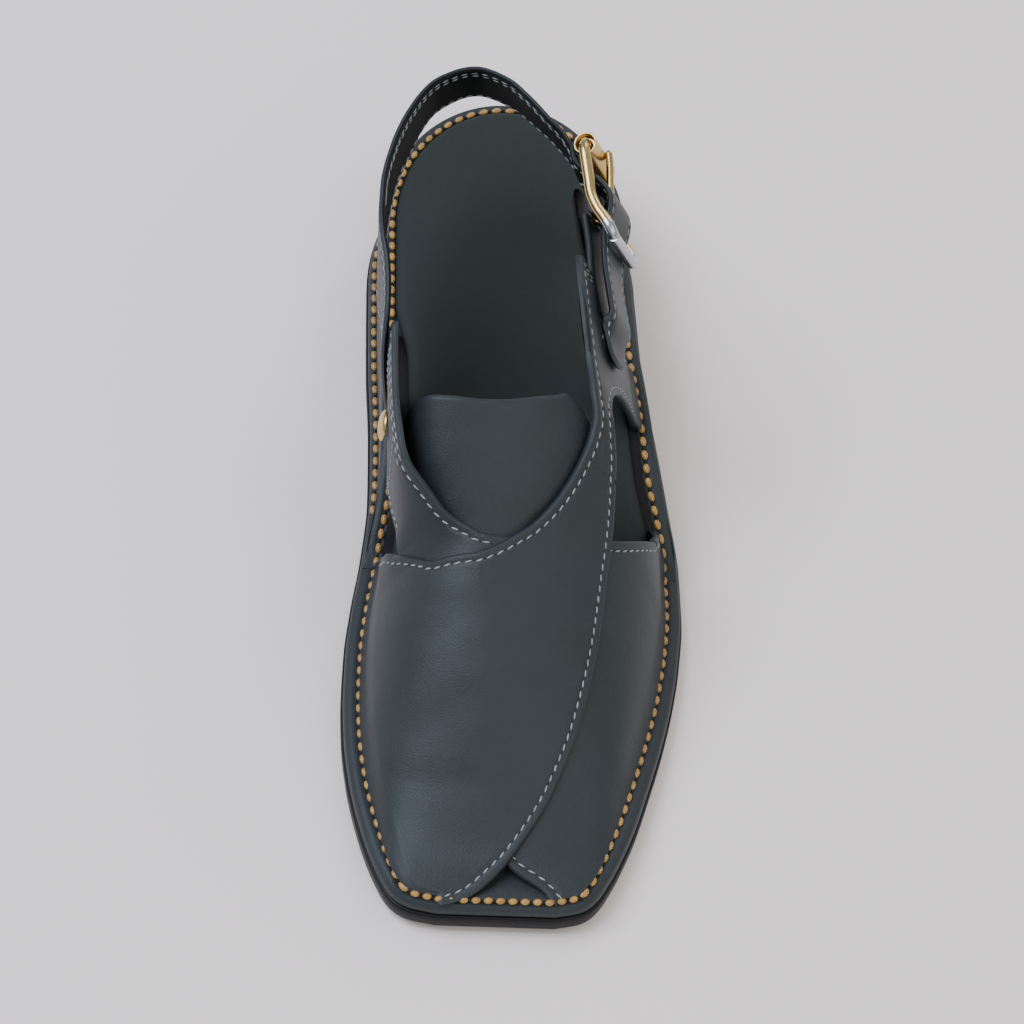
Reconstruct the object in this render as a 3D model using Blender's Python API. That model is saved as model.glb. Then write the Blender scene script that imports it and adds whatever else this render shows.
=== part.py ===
"""Left-foot chappal: crossing leather bands, open toe, wedge heel, heel strap with a roller buckle.

Metres, +Z up. The toe points to -Y, the heel to +Y and the outer side of the foot to +X.
The origin is on the floor, under the middle of the heel seat.
"""
import bisect
import math

import bmesh
import bpy
import numpy as np

# Driving dimensions
SOLE_LENGTH = 0.287
HEEL_REACH = 0.0455
BALL_WIDTH = 0.099
OUTSOLE_THICKNESS = 0.005
WELT_THICKNESS = 0.004
HEEL_HEIGHT = 0.034
TOE_SPRING = 0.0026
ARCH_LIFT = 0.0013
INSOLE_THICKNESS = 0.0030
INSOLE_CROWN = 0.0012
INSTEP_HEIGHT = 0.080
UNDER_WALL = 0.0020
OVER_WALL = 0.0022
OVER_LIFT = 0.0010
TONGUE_WALL = 0.0024
STRAP_WALL = 0.0018
GUARD_WALL = 0.0014
TAB_WALL = 0.0024
EYE_WALL = 0.0014
SEAM_GAP = 0.0003
THREAD_INSET = 0.0052
FEATHER_ROOM = 0.0036
RIM_MARGIN = 0.0036
BUCKLE_LENGTH = 0.032
BUCKLE_WIDTH = 0.024
BUCKLE_WIRE = 0.0030
BUCKLE_BAR = 0.0024
ROLLER_DIAMETER = 0.0062
ROLLER_BORE = 0.0036
PRONG_WIRE = 0.0022
STUD_DIAMETER = 0.0090
STUD_HEIGHT = 0.0026

COLLECTION = "chappal_left"
TOE_Y = HEEL_REACH - SOLE_LENGTH


class Curve:
    """Smooth curve through a short table that never overshoots its values."""

    def __init__(self, knots, values):
        self.x = list(knots)
        self.y = list(values)
        self.step = [b - a for a, b in zip(self.x[:-1], self.x[1:])]
        slope = [(b - a) / h for a, b, h in zip(self.y[:-1], self.y[1:], self.step)]
        self.tangent = [slope[0]] + [0.0] * (len(self.x) - 2) + [slope[-1]]
        for i in range(1, len(self.x) - 1):
            if slope[i - 1] * slope[i] > 0:
                w1 = 2 * self.step[i] + self.step[i - 1]
                w2 = self.step[i] + 2 * self.step[i - 1]
                self.tangent[i] = (w1 + w2) / (w1 / slope[i - 1] + w2 / slope[i])

    def __call__(self, at):
        at = min(max(at, self.x[0]), self.x[-1])
        i = min(bisect.bisect_right(self.x, at) - 1, len(self.x) - 2)
        h = self.step[i]
        t = (at - self.x[i]) / h
        value = (1 + 2 * t) * (1 - t) ** 2 * self.y[i] + t * (1 - t) ** 2 * h * self.tangent[i]
        return value + t * t * (3 - 2 * t) * self.y[i + 1] + t * t * (t - 1) * h * self.tangent[i + 1]


def table(rows):
    """Turn rows of a table into one curve per column, named by the first row and run along the first column."""
    knots = [row[0] for row in rows[1:]]
    return {name: Curve(knots, [row[k] for row in rows[1:]]) for k, name in enumerate(rows[0])}


# Sole edge, from the toe: half widths as shares of the ball width
OUTLINE = table([
    ("share", "medial", "lateral"),
    (0.000, 0.162, 0.167),
    (0.006, 0.242, 0.237),
    (0.018, 0.291, 0.281),
    (0.040, 0.327, 0.321),
    (0.065, 0.356, 0.356),
    (0.100, 0.387, 0.397),
    (0.150, 0.419, 0.443),
    (0.200, 0.437, 0.485),
    (0.250, 0.443, 0.519),
    (0.300, 0.440, 0.543),
    (0.360, 0.424, 0.558),
    (0.420, 0.401, 0.556),
    (0.500, 0.384, 0.533),
    (0.580, 0.387, 0.507),
    (0.680, 0.400, 0.472),
    (0.800, 0.407, 0.454),
])
HEEL_ROUND = 0.800

# Height of the sole: the bottom as shares of toe spring and arch lift, the top as a share of the heel's rise
SOLE_BOTTOM = table([
    ("share", "spring", "arch"),
    (0.00, 1.00, 0.0),
    (0.08, 0.50, 0.0),
    (0.16, 0.14, 0.0),
    (0.24, 0.00, 0.0),
    (0.44, 0.00, 0.0),
    (0.52, 0.00, 1.0),
    (0.60, 0.00, 1.0),
    (0.66, 0.00, 0.0),
    (1.00, 0.00, 0.0),
])
WEDGE_START = 0.400
SOLE_TOP = table([
    ("share", "rise"),
    (0.400, 0.03),
    (0.430, 0.13),
    (0.455, 0.28),
    (0.485, 0.46),
    (0.515, 0.60),
    (0.553, 0.72),
    (0.620, 0.81),
    (0.700, 0.88),
    (0.850, 0.96),
    (1.000, 1.00),
])

# Where the welt thread runs, inward from the sole edge, as a share of its inset at the ball
THREAD = table([
    ("share", "medial", "lateral"),
    (0.00, 0.62, 0.62),
    (0.04, 0.85, 0.85),
    (0.10, 0.98, 0.98),
    (0.42, 1.02, 1.02),
    (0.46, 1.19, 1.35),
    (0.49, 1.25, 1.58),
    (0.52, 1.31, 1.65),
    (0.70, 1.33, 1.67),
    (0.90, 1.35, 1.65),
    (1.00, 1.50, 1.50),
])

# Sections of the last, from the toe. Heights are shares of the instep height above the sole's forefoot,
# the ridge and the swell are shares of the ball width, and the powers make a side rounder or squarer.
LAST = table([
    ("share", "medial_top", "lateral_top", "ridge", "swell", "medial_power", "lateral_power"),
    (0.002, 0.030, 0.030, 0.02, 0.000, 2.2, 2.0),
    (0.045, 0.045, 0.045, 0.01, 0.000, 2.1, 2.0),
    (0.090, 0.115, 0.115, 0.00, 0.000, 2.0, 1.9),
    (0.145, 0.230, 0.230, -0.02, 0.000, 1.9, 1.9),
    (0.195, 0.345, 0.345, -0.04, 0.000, 1.85, 1.8),
    (0.250, 0.455, 0.455, -0.06, 0.000, 1.8, 1.75),
    (0.312, 0.570, 0.570, -0.07, -0.005, 1.8, 1.75),
    (0.335, 0.618, 0.622, -0.07, -0.022, 2.4, 1.78),
    (0.355, 0.700, 0.680, -0.07, -0.042, 4.6, 1.8),
    (0.395, 0.900, 0.790, -0.08, -0.015, 8.0, 1.85),
    (0.437, 1.000, 0.925, -0.08, 0.020, 8.0, 1.78),
    (0.465, 1.080, 1.120, -0.08, 0.040, 7.0, 1.46),
    (0.495, 1.180, 1.360, -0.08, 0.052, 6.0, 1.23),
    (0.530, 1.250, 1.480, -0.08, 0.055, 5.5, 1.16),
    (0.640, 1.350, 1.520, -0.08, 0.055, 5.5, 1.14),
])

# The same for the tongue, which stays low where the inner quarter stands up beside it
TONGUE_LAST = table([
    ("share", "medial_top", "lateral_top", "ridge", "swell", "medial_power", "lateral_power"),
    (0.195, 0.345, 0.345, -0.04, -0.010, 1.9, 1.8),
    (0.250, 0.455, 0.455, -0.06, -0.010, 1.9, 1.75),
    (0.312, 0.562, 0.562, -0.07, -0.020, 1.9, 1.75),
    (0.335, 0.606, 0.606, -0.07, -0.034, 2.3, 1.75),
    (0.355, 0.665, 0.665, -0.07, -0.048, 3.0, 1.8),
    (0.395, 0.785, 0.785, -0.08, -0.022, 3.8, 1.85),
    (0.437, 0.905, 0.905, -0.08, 0.012, 3.8, 1.80),
    (0.480, 1.040, 1.040, -0.08, 0.020, 3.8, 1.60),
])

# Edges of the bands: place along the sole, and place around the last (0 inner side, 1 outer side)
OVER_FRONT = table([
    ("run", "share", "around"),
    (0.00, 0.014, 0.000),
    (0.05, 0.010, 0.100),
    (0.10, 0.011, 0.186),
    (0.18, 0.020, 0.361),
    (0.26, 0.044, 0.510),
    (0.36, 0.105, 0.651),
    (0.46, 0.186, 0.719),
    (0.56, 0.255, 0.739),
    (0.66, 0.332, 0.744),
    (0.78, 0.438, 0.752),
    (0.86, 0.495, 0.850),
    (0.93, 0.525, 0.933),
    (1.00, 0.545, 1.000),
])
OVER_REAR = table([
    ("run", "share", "around"),
    (0.00, 0.405, 0.000),
    (0.08, 0.375, 0.075),
    (0.13, 0.358, 0.118),
    (0.18, 0.339, 0.192),
    (0.21, 0.332, 0.232),
    (0.26, 0.320, 0.300),
    (0.33, 0.309, 0.368),
    (0.42, 0.308, 0.478),
    (0.50, 0.330, 0.562),
    (0.58, 0.380, 0.647),
    (0.66, 0.440, 0.703),
    (0.73, 0.510, 0.753),
    (0.80, 0.580, 0.748),
    (0.845, 0.604, 0.754),
    (0.90, 0.610, 0.828),
    (1.00, 0.618, 1.000),
])
UNDER_FRONT = table([
    ("run", "share", "around"),
    (0.00, 0.465, 0.000),
    (0.04, 0.456, 0.022),
    (0.07, 0.446, 0.053),
    (0.10, 0.430, 0.092),
    (0.14, 0.404, 0.128),
    (0.18, 0.376, 0.155),
    (0.22, 0.350, 0.190),
    (0.32, 0.270, 0.265),
    (0.48, 0.180, 0.365),
    (0.64, 0.095, 0.452),
    (0.76, 0.048, 0.515),
    (0.88, 0.030, 0.660),
    (1.00, 0.013, 1.000),
])
UNDER_REAR = table([
    ("run", "share", "around"),
    (0.00, 0.515, 0.000),
    (0.05, 0.517, 0.100),
    (0.09, 0.512, 0.185),
    (0.12, 0.500, 0.216),
    (0.15, 0.472, 0.218),
    (0.18, 0.443, 0.230),
    (0.21, 0.414, 0.224),
    (0.25, 0.396, 0.234),
    (0.29, 0.378, 0.258),
    (0.34, 0.359, 0.304),
    (0.39, 0.346, 0.358),
    (0.45, 0.334, 0.440),
    (0.53, 0.324, 0.520),
    (0.60, 0.325, 0.565),
    (0.66, 0.333, 0.630),
    (0.76, 0.350, 0.745),
    (0.88, 0.388, 0.878),
    (1.00, 0.446, 1.000),
])


def sole_half(share, side):
    column = "medial" if side < 0 else "lateral"
    return BALL_WIDTH * OUTLINE[column](share)


def along(share):
    return TOE_Y + share * SOLE_LENGTH


def share_at(y):
    return min(max((y - TOE_Y) / SOLE_LENGTH, 0.0), 1.0)


def edge_point(share, side):
    """A point of the sole edge: a table as far as the heel seat, then half an ellipse."""
    if share <= HEEL_ROUND:
        return np.array([side * sole_half(share, side), along(share)])
    inner = sole_half(HEEL_ROUND, -1)
    outer = sole_half(HEEL_ROUND, 1)
    drop = (share - HEEL_ROUND) / (1.0 - HEEL_ROUND)
    reach = math.sqrt(max(1.0 - drop * drop, 0.0))
    middle = (outer - inner) / 2
    return np.array([middle + side * reach * (outer + inner) / 2, along(share)])


def thread_inset(share, side):
    column = "medial" if side < 0 else "lateral"
    return THREAD_INSET * THREAD[column](share)


def inset_point(share, side, inset):
    """The sole edge moved inward, square to itself."""
    small = 0.002
    low = max(share - small, 0.0)
    high = min(share + small, 1.0 - 1e-6)
    tangent = edge_point(high, side) - edge_point(low, side)
    if share < small:
        tangent = np.array([side * 1.0, 0.25])
    tangent /= np.linalg.norm(tangent)
    inward = np.array([-side * abs(tangent[1]), abs(tangent[0]) if share < HEEL_ROUND else -abs(tangent[0])])
    if HEEL_ROUND > share > 0.3:
        inward = np.array([-side * 1.0, 0.0])
    return edge_point(share, side) + inward * inset


def sole_bottom(share):
    spring = TOE_SPRING * SOLE_BOTTOM["spring"](share)
    return spring + ARCH_LIFT * SOLE_BOTTOM["arch"](share)


def welt_top(share):
    spring = TOE_SPRING * SOLE_BOTTOM["spring"](share)
    return OUTSOLE_THICKNESS + WELT_THICKNESS + SEAM_GAP + spring


def sole_top(share):
    """Top of the sole: the welt in front, the wedge behind."""
    base = welt_top(share)
    if share < WEDGE_START:
        return base
    return base + SEAM_GAP + (HEEL_HEIGHT - base) * SOLE_TOP["rise"](share)


FEATHER_SHARES = [0.0, 0.002, 0.005, 0.01, 0.02, 0.03, 0.045, 0.06, 0.08] + [0.1 + 0.02 * k for k in range(30)]


def feather(side):
    rows = [inset_point(s, side, thread_inset(s, side) + FEATHER_ROOM) for s in FEATHER_SHARES]
    rows.sort(key=lambda p: p[1])
    return np.array(rows)


FEATHER = {-1: feather(-1), 1: feather(1)}


def last_point(share, around, lift=0.0, section=LAST):
    """A point of the last's surface, lifted square to it."""
    point = last_surface(share, around, section)
    if lift:
        point = point + lift * last_normal(share, around, section)
    return point


def last_surface(share, around, section):
    y = along(share)
    side = -1 if around <= 0.5 else 1
    column = "medial" if side < 0 else "lateral"
    foot = FEATHER[side]
    foot_x = np.interp(y, foot[:, 1], foot[:, 0])
    floor = sole_top(share) + SEAM_GAP * 1.7
    height = INSTEP_HEIGHT * section[column + "_top"](share)
    height = max(height + welt_top(0.3) - floor, SEAM_GAP)
    power = section[column + "_power"](share)
    ridge = BALL_WIDTH * section["ridge"](share)
    turn = math.pi * max(min(around, 1.0 - around), 0.0)
    size = (math.cos(turn) ** power + math.sin(turn) ** power) ** (1 / power) if turn < math.pi / 2 else 1.0
    rise = math.sin(turn) / size
    reach = math.cos(turn) / size if turn < math.pi / 2 else 0.0
    swell = BALL_WIDTH * section["swell"](share) if side < 0 else 0.0
    swell *= 1.0 - max(0.0, 1.0 - rise / 0.75) ** 1.6
    x = ridge + (foot_x - ridge - swell) * reach
    return np.array([x, y, floor + height * rise])


def last_normal(share, around, section):
    step_s = 0.002
    step_a = 0.004
    share = min(max(share, section["share"].x[0] + step_s), section["share"].x[-1] - step_s)
    around = min(max(around, step_a), 1.0 - step_a)
    if abs(around - 0.5) < step_a:
        around = 0.5 - step_a
    a = last_surface(share + step_s, around, section) - last_surface(share - step_s, around, section)
    b = last_surface(share, around + step_a, section) - last_surface(share, around - step_a, section)
    normal = np.cross(b, a)
    normal /= np.linalg.norm(normal)
    here = last_surface(share, around, section)
    if np.dot(normal, here - np.array([0.0, along(share), sole_top(share)])) < 0:
        normal = -normal
    if normal[2] < 0:
        normal[2] *= min(1.0, max(here[2] - sole_top(share) - SEAM_GAP - 0.001, 0.0) / 0.006)
    return normal


def on_wall(y, z, lift, side):
    """The point at y and z on one side of the last, lifted square to it."""
    share = share_at(y)
    low, high = (0.0, 0.47) if side < 0 else (1.0, 0.53)
    for _ in range(14):
        middle = (low + high) / 2
        if last_point(share, middle, lift)[2] < z:
            low = middle
        else:
            high = middle
    return np.array([last_point(share, (low + high) / 2, lift)[0], y, z])


def ease(value, start, end):
    t = min(max((value - start) / (end - start), 0.0), 1.0)
    return t * t * (3 - 2 * t)


def material(name, colour, roughness, metallic=0.0):
    made = bpy.data.materials.new(name)
    made.use_nodes = True
    shader = made.node_tree.nodes["Principled BSDF"]
    shader.inputs["Base Color"].default_value = (*colour, 1.0)
    shader.inputs["Roughness"].default_value = roughness
    shader.inputs["Metallic"].default_value = metallic
    return made


def add_object(name, verts, faces, made, smooth=True, collection=COLLECTION):
    mesh = bpy.data.meshes.new(name)
    mesh.from_pydata([tuple(v) for v in verts], [], faces)
    mesh.validate()
    obj = bpy.data.objects.new(name, mesh)
    bpy.data.collections[collection].objects.link(obj)
    mesh.materials.append(made)
    shape = bmesh.new()
    shape.from_mesh(mesh)
    bmesh.ops.remove_doubles(shape, verts=shape.verts, dist=1e-7)
    bmesh.ops.recalc_face_normals(shape, faces=shape.faces)
    shape.to_mesh(mesh)
    shape.free()
    if smooth:
        mesh.shade_smooth()
        mesh.set_sharp_from_angle(angle=math.radians(40))
    return obj


def patch_faces(rows, columns):
    faces = []
    for i in range(rows - 1):
        for j in range(columns - 1):
            a = i * columns + j
            faces.append((a, a + 1, a + columns + 1, a + columns))
    return faces


def thick_patch(name, inner, outer, made, collection=COLLECTION):
    """A closed wall between an inner and an outer sheet of the same rows and columns."""
    rows = len(inner)
    columns = len(inner[0])
    count = rows * columns
    verts = [p for row in inner for p in row] + [p for row in outer for p in row]
    sheet = patch_faces(rows, columns)
    faces = list(sheet) + [tuple(count + k for k in face) for face in reversed(sheet)]
    border = [j for j in range(columns)]
    border += [i * columns + columns - 1 for i in range(1, rows)]
    border += [(rows - 1) * columns + j for j in range(columns - 2, -1, -1)]
    border += [i * columns for i in range(rows - 2, 0, -1)]
    for k, a in enumerate(border):
        b = border[(k + 1) % len(border)]
        faces.append((a, b, count + b, count + a))
    return add_object(name, verts, faces, made, collection=collection)


def resolve(edge, run):
    return (edge["share"](run), edge["around"](run))


def band(name, front, rear, lift, thickness, made, rows=34, columns=11, collection=COLLECTION):
    """A band of leather on the last, between a front and a rear edge."""
    inner = []
    outer = []
    for i in range(rows + 1):
        run = i / rows
        s0, a0 = resolve(front, run)
        s1, a1 = resolve(rear, run)
        low = []
        high = []
        for j in range(columns + 1):
            t = j / columns
            share = s0 + (s1 - s0) * t
            around = a0 + (a1 - a0) * t
            raised = lift(around)
            low.append(last_point(share, around, raised))
            high.append(last_point(share, around, raised + thickness))
        inner.append(low)
        outer.append(high)
    return thick_patch(name, inner, outer, made, collection=collection)


STATIONS = [0.0, 0.004, 0.010, 0.018, 0.030, 0.045, 0.07, 0.10, 0.13, 0.16, 0.20, 0.24, 0.28, 0.32, 0.36, 0.396]
STATIONS += [0.404, 0.42, 0.44, 0.46, 0.48, 0.50, 0.52, 0.54, 0.57, 0.60, 0.64, 0.68, 0.73, 0.79, 0.846]
STATIONS += [0.88, 0.91, 0.935, 0.955, 0.972, 0.985, 0.994, 0.999]


def layer(name, levels, start, end, made, columns=4, crown=0.0):
    """A layer of the sole: levels go from the bottom edge to the top edge, each with its inset and height."""
    shares = [s for s in STATIONS if start <= s <= end]
    last = len(shares) - 1
    verts = []

    def keep(point):
        verts.append(point)
        return len(verts) - 1

    edge = []
    for inset, height in levels:
        ring = []
        for side in (-1, 1):
            flat = [inset_point(s, side, inset(s, side)) for s in shares]
            ring.append([keep(np.append(p, height(share_at(p[1])))) for p in flat])
        edge.append(ring)
    faces = []
    for low, high in zip(edge[:-1], edge[1:]):
        for side in (0, 1):
            for i in range(last):
                faces.append((low[side][i], low[side][i + 1], high[side][i + 1], high[side][i]))
    grids = {}
    for k in (0, len(levels) - 1):
        grid = []
        for i in range(last + 1):
            a = verts[edge[k][0][i]]
            b = verts[edge[k][1][i]]
            row = [edge[k][0][i]]
            for j in range(1, columns):
                t = j / columns
                point = a + (b - a) * t
                if k:
                    fade = min(1.0, i / 4, (last - i) / 3)
                    point = point + np.array([0, 0, crown * fade * (1 - (2 * t - 1) ** 4)])
                row.append(keep(point))
            row.append(edge[k][1][i])
            grid.append(row)
        for i in range(last):
            for j in range(columns):
                faces.append((grid[i][j], grid[i][j + 1], grid[i + 1][j + 1], grid[i + 1][j]))
        grids[k] = grid
    for i in (0, last):
        chain = []
        for k in range(len(levels)):
            if k in grids:
                chain.append(grids[k][i])
                continue
            a = verts[edge[k][0][i]]
            b = verts[edge[k][1][i]]
            inner = [keep(a + (b - a) * j / columns) for j in range(1, columns)]
            chain.append([edge[k][0][i]] + inner + [edge[k][1][i]])
        for low, high in zip(chain[:-1], chain[1:]):
            for j in range(columns):
                faces.append((low[j], low[j + 1], high[j + 1], high[j]))
    return add_object(name, verts, faces, made)


def rim_inset(share, side):
    return thread_inset(share, side) - RIM_MARGIN


# The footbed thins out under the bands at the toe
FOOTBED = table([
    ("share", "thickness", "extra_inset"),
    (0.07, 0.20, 3.0),
    (0.10, 0.40, 1.5),
    (0.16, 0.80, 0.4),
    (0.24, 1.00, 0.2),
    (0.62, 1.00, 0.2),
    (0.69, 1.00, -0.7),
    (1.00, 1.00, -0.7),
])


def footbed_inset(share, side):
    extra = FEATHER_ROOM * FOOTBED["extra_inset"](share)
    return thread_inset(share, side) + FEATHER_ROOM + extra


def footbed_height(share, part):
    thickness = INSOLE_THICKNESS * FOOTBED["thickness"](share)
    return sole_top(share) + SEAM_GAP + thickness * part


def make_sole(rubber, leather, footbed):
    layer("outsole", [
        (lambda s, e: 0.0006, sole_bottom),
        (lambda s, e: 0.0, lambda s: sole_bottom(s) + 0.0006),
        (lambda s, e: 0.0, lambda s: welt_top(s) - WELT_THICKNESS - SEAM_GAP - 0.0004),
        (lambda s, e: 0.0004, lambda s: welt_top(s) - WELT_THICKNESS - SEAM_GAP),
    ], 0.0, 1.0, rubber, columns=2)
    layer("welt", [
        (lambda s, e: 0.0008, lambda s: welt_top(s) - WELT_THICKNESS),
        (lambda s, e: 0.0006, lambda s: welt_top(s) - WELT_THICKNESS * 0.45),
        (lambda s, e: 0.0016, lambda s: welt_top(s) - WELT_THICKNESS * 0.12),
        (lambda s, e: 0.0030, welt_top),
    ], 0.0, 1.0, leather, columns=2)
    layer("heel_wedge", [
        (lambda s, e: rim_inset(s, e) - 0.0002, lambda s: welt_top(s) + SEAM_GAP),
        (lambda s, e: rim_inset(s, e), lambda s: sole_top(s) - 0.2 * (sole_top(s) - welt_top(s) - SEAM_GAP)),
        (lambda s, e: rim_inset(s, e) + 0.0006, sole_top),
    ], 0.404, 1.0, leather)
    layer("insole", [
        (footbed_inset, lambda s: footbed_height(s, 0.0)),
        (footbed_inset, lambda s: footbed_height(s, 0.5)),
        (lambda s, e: footbed_inset(s, e) + 0.0012, lambda s: footbed_height(s, 1.0)),
    ], 0.07, 1.0, footbed, crown=INSOLE_CROWN)


def make_upper(leather):
    under = band("upper", UNDER_FRONT, UNDER_REAR, lambda a: 0.0, UNDER_WALL, leather)

    def over_lift(around):
        return OVER_LIFT * min(1.0, around / 0.12, (1.0 - around) / 0.10)

    over = band("over_band", OVER_FRONT, OVER_REAR, over_lift, OVER_WALL, leather, rows=38, columns=10, collection="cutters")
    over.display_type = "WIRE"
    over.hide_render = True
    union = under.modifiers.new("Crossing", "BOOLEAN")
    union.operation = "UNION"
    union.solver = "EXACT"
    union.object = over
    return under


# Edges of the tongue, in shares of the sole and of the way around the last
TONGUE_TOP = table([
    ("across", "share", "around"),
    (0.00, 0.462, 0.165),
    (0.08, 0.447, 0.225),
    (0.17, 0.438, 0.290),
    (0.30, 0.431, 0.365),
    (0.50, 0.428, 0.500),
    (0.78, 0.446, 0.630),
    (0.88, 0.455, 0.668),
    (1.00, 0.444, 0.718),
])
TONGUE_FOOT = table([
    ("across", "share", "around"),
    (0.00, 0.315, 0.242),
    (0.50, 0.255, 0.468),
    (1.00, 0.315, 0.704),
])


def make_tongue(leather):
    inner = []
    outer = []
    rows = 10
    columns = 16
    for i in range(rows + 1):
        low = []
        high = []
        for j in range(columns + 1):
            across = j / columns
            s0 = TONGUE_FOOT["share"](across)
            s1 = TONGUE_TOP["share"](across)
            a0 = TONGUE_FOOT["around"](across)
            a1 = TONGUE_TOP["around"](across)
            t = i / rows
            share = s0 + (s1 - s0) * t
            around = a0 + (a1 - a0) * t
            high.append(last_point(share, around, -SEAM_GAP, TONGUE_LAST))
            low.append(last_point(share, around, -SEAM_GAP - TONGUE_WALL, TONGUE_LAST))
        inner.append(low)
        outer.append(high)
    return thick_patch("tongue", inner, outer, leather)


# Heel strap, from its foot on the sole to the buckle: upper edge and lower edge.
# Across is a share of the ball width, along of the sole length (0 at the heel rest), up of the strap height.
STRAP_HEIGHT = 0.100
STRAP = table([
    ("run", "top_across", "top_along", "top_up", "low_across", "low_along", "low_up"),
    (0.000, -0.350, -0.325, 0.235, -0.350, -0.268, 0.260),
    (0.050, -0.355, -0.330, 0.360, -0.355, -0.271, 0.345),
    (0.100, -0.360, -0.337, 0.520, -0.358, -0.275, 0.420),
    (0.145, -0.360, -0.344, 0.700, -0.360, -0.276, 0.470),
    (0.180, -0.362, -0.345, 0.800, -0.362, -0.275, 0.500),
    (0.210, -0.365, -0.334, 0.866, -0.363, -0.272, 0.525),
    (0.250, -0.368, -0.300, 0.904, -0.365, -0.262, 0.553),
    (0.310, -0.375, -0.245, 0.945, -0.367, -0.235, 0.590),
    (0.380, -0.372, -0.190, 0.965, -0.362, -0.183, 0.645),
    (0.450, -0.350, -0.145, 0.976, -0.345, -0.130, 0.700),
    (0.520, -0.305, -0.096, 0.980, -0.300, -0.080, 0.745),
    (0.590, -0.225, -0.050, 0.980, -0.222, -0.026, 0.776),
    (0.660, -0.118, -0.032, 0.980, -0.100, -0.001, 0.784),
    (0.730, -0.030, -0.043, 0.976, -0.008, -0.012, 0.780),
    (0.800, 0.036, -0.064, 0.964, 0.076, -0.036, 0.768),
    (0.870, 0.095, -0.084, 0.940, 0.150, -0.060, 0.746),
    (0.940, 0.140, -0.094, 0.910, 0.203, -0.080, 0.716),
    (1.000, 0.165, -0.103, 0.880, 0.238, -0.096, 0.690),
])

# Buckle frame: where its centre bar sits, and its directions towards the heel, up and outwards
BUCKLE_AT = np.array([0.276 * BALL_WIDTH, -0.155 * SOLE_LENGTH, 0.767 * STRAP_HEIGHT])
BUCKLE_BACK = np.array([-0.14, 0.955, 0.26])
BUCKLE_BACK = BUCKLE_BACK / np.linalg.norm(BUCKLE_BACK)
BUCKLE_UP = np.array([-0.38, -0.25, 0.89])
BUCKLE_UP = BUCKLE_UP - BUCKLE_BACK * np.dot(BUCKLE_UP, BUCKLE_BACK)
BUCKLE_UP = BUCKLE_UP / np.linalg.norm(BUCKLE_UP)
BUCKLE_OUT = np.cross(BUCKLE_BACK, BUCKLE_UP)

# The strap through the buckle: distance forward of the roller and height over the centre bar,
# as shares of the buckle length and of the roller diameter. Width stays as shares of the buckle width.
THREADED = table([
    ("run", "back", "out", "rise"),
    (0.00, 0.62, -0.72, 0.0),
    (0.10, 0.50, -0.68, 0.0),
    (0.20, 0.38, -0.44, 0.0),
    (0.30, 0.25, 0.14, 0.0),
    (0.40, 0.12, 0.66, 0.0),
    (0.50, 0.00, 0.79, 0.0),
    (0.65, -0.14, 0.58, 0.0),
    (0.80, -0.27, 0.28, 0.0),
    (1.00, -0.42, 0.15, 0.0),
])


def buckle_point(back, up, out):
    return BUCKLE_AT + BUCKLE_BACK * back + BUCKLE_UP * up + BUCKLE_OUT * out


def thicken(rows, thickness, outward):
    """Lift a sheet of points square to itself. The rows and columns of the sheet turn so that it faces outward."""
    lifted = []
    last_row = len(rows) - 1
    last_column = len(rows[0]) - 1
    for i, row in enumerate(rows):
        line = []
        for j, point in enumerate(row):
            along_run = rows[min(i + 1, last_row)][j] - rows[max(i - 1, 0)][j]
            across = row[min(j + 1, last_column)] - row[max(j - 1, 0)]
            normal = np.cross(along_run, across)
            normal /= np.linalg.norm(normal)
            if outward < 0:
                normal = -normal
            line.append(point + normal * thickness)
        lifted.append(line)
    return lifted


def strap_row(run, columns):
    """One row of the strap's inner face, from its lower to its upper edge."""
    top = np.array([STRAP["top_across"](run) * BALL_WIDTH, STRAP["top_along"](run) * SOLE_LENGTH,
                    STRAP["top_up"](run) * STRAP_HEIGHT])
    low = np.array([STRAP["low_across"](run) * BALL_WIDTH, STRAP["low_along"](run) * SOLE_LENGTH,
                    STRAP["low_up"](run) * STRAP_HEIGHT])
    row = []
    for j in range(columns + 1):
        point = low + (top - low) * j / columns
        floor = sole_top(share_at(point[1])) + SEAM_GAP * 2
        point[2] = floor + (point[2] - floor) * ease(run, 0.0, 0.04) if run < 0.04 else max(point[2], floor)
        held = 1.0 - ease(point[1], -0.30 * SOLE_LENGTH, -0.22 * SOLE_LENGTH)
        if held > 0 and run < 0.5:
            wall = on_wall(point[1], point[2], UNDER_WALL + SEAM_GAP * 1.5, -1)
            point = point + (wall - point) * held
        row.append(point)
    return row


def threaded_row(run, columns):
    """One row of the strap's inner face inside and past the buckle."""
    back = THREADED["back"](run) * BUCKLE_LENGTH
    out = THREADED["out"](run) * ROLLER_DIAMETER - STRAP_WALL / 2
    rise = THREADED["rise"](run) * BUCKLE_WIDTH
    half = 0.42 * BUCKLE_WIDTH
    return [buckle_point(back, rise + half * (2 * j / columns - 1), out) for j in range(columns + 1)]


def beside_quarter(back, up, lift):
    """A point outside the buckle's eye and the outer quarter, where the tab lies at lift 0."""
    eye = BUCKLE_BAR / 2 + SEAM_GAP + EYE_WALL
    plan = buckle_point(back, up, lift - eye)
    wall = on_wall(plan[1], plan[2], OVER_LIFT + OVER_WALL + SEAM_GAP * 1.5 + lift, 1)
    return plan + (wall - plan) * ease(-back, 0.30 * BUCKLE_LENGTH, 0.78 * BUCKLE_LENGTH)


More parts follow.
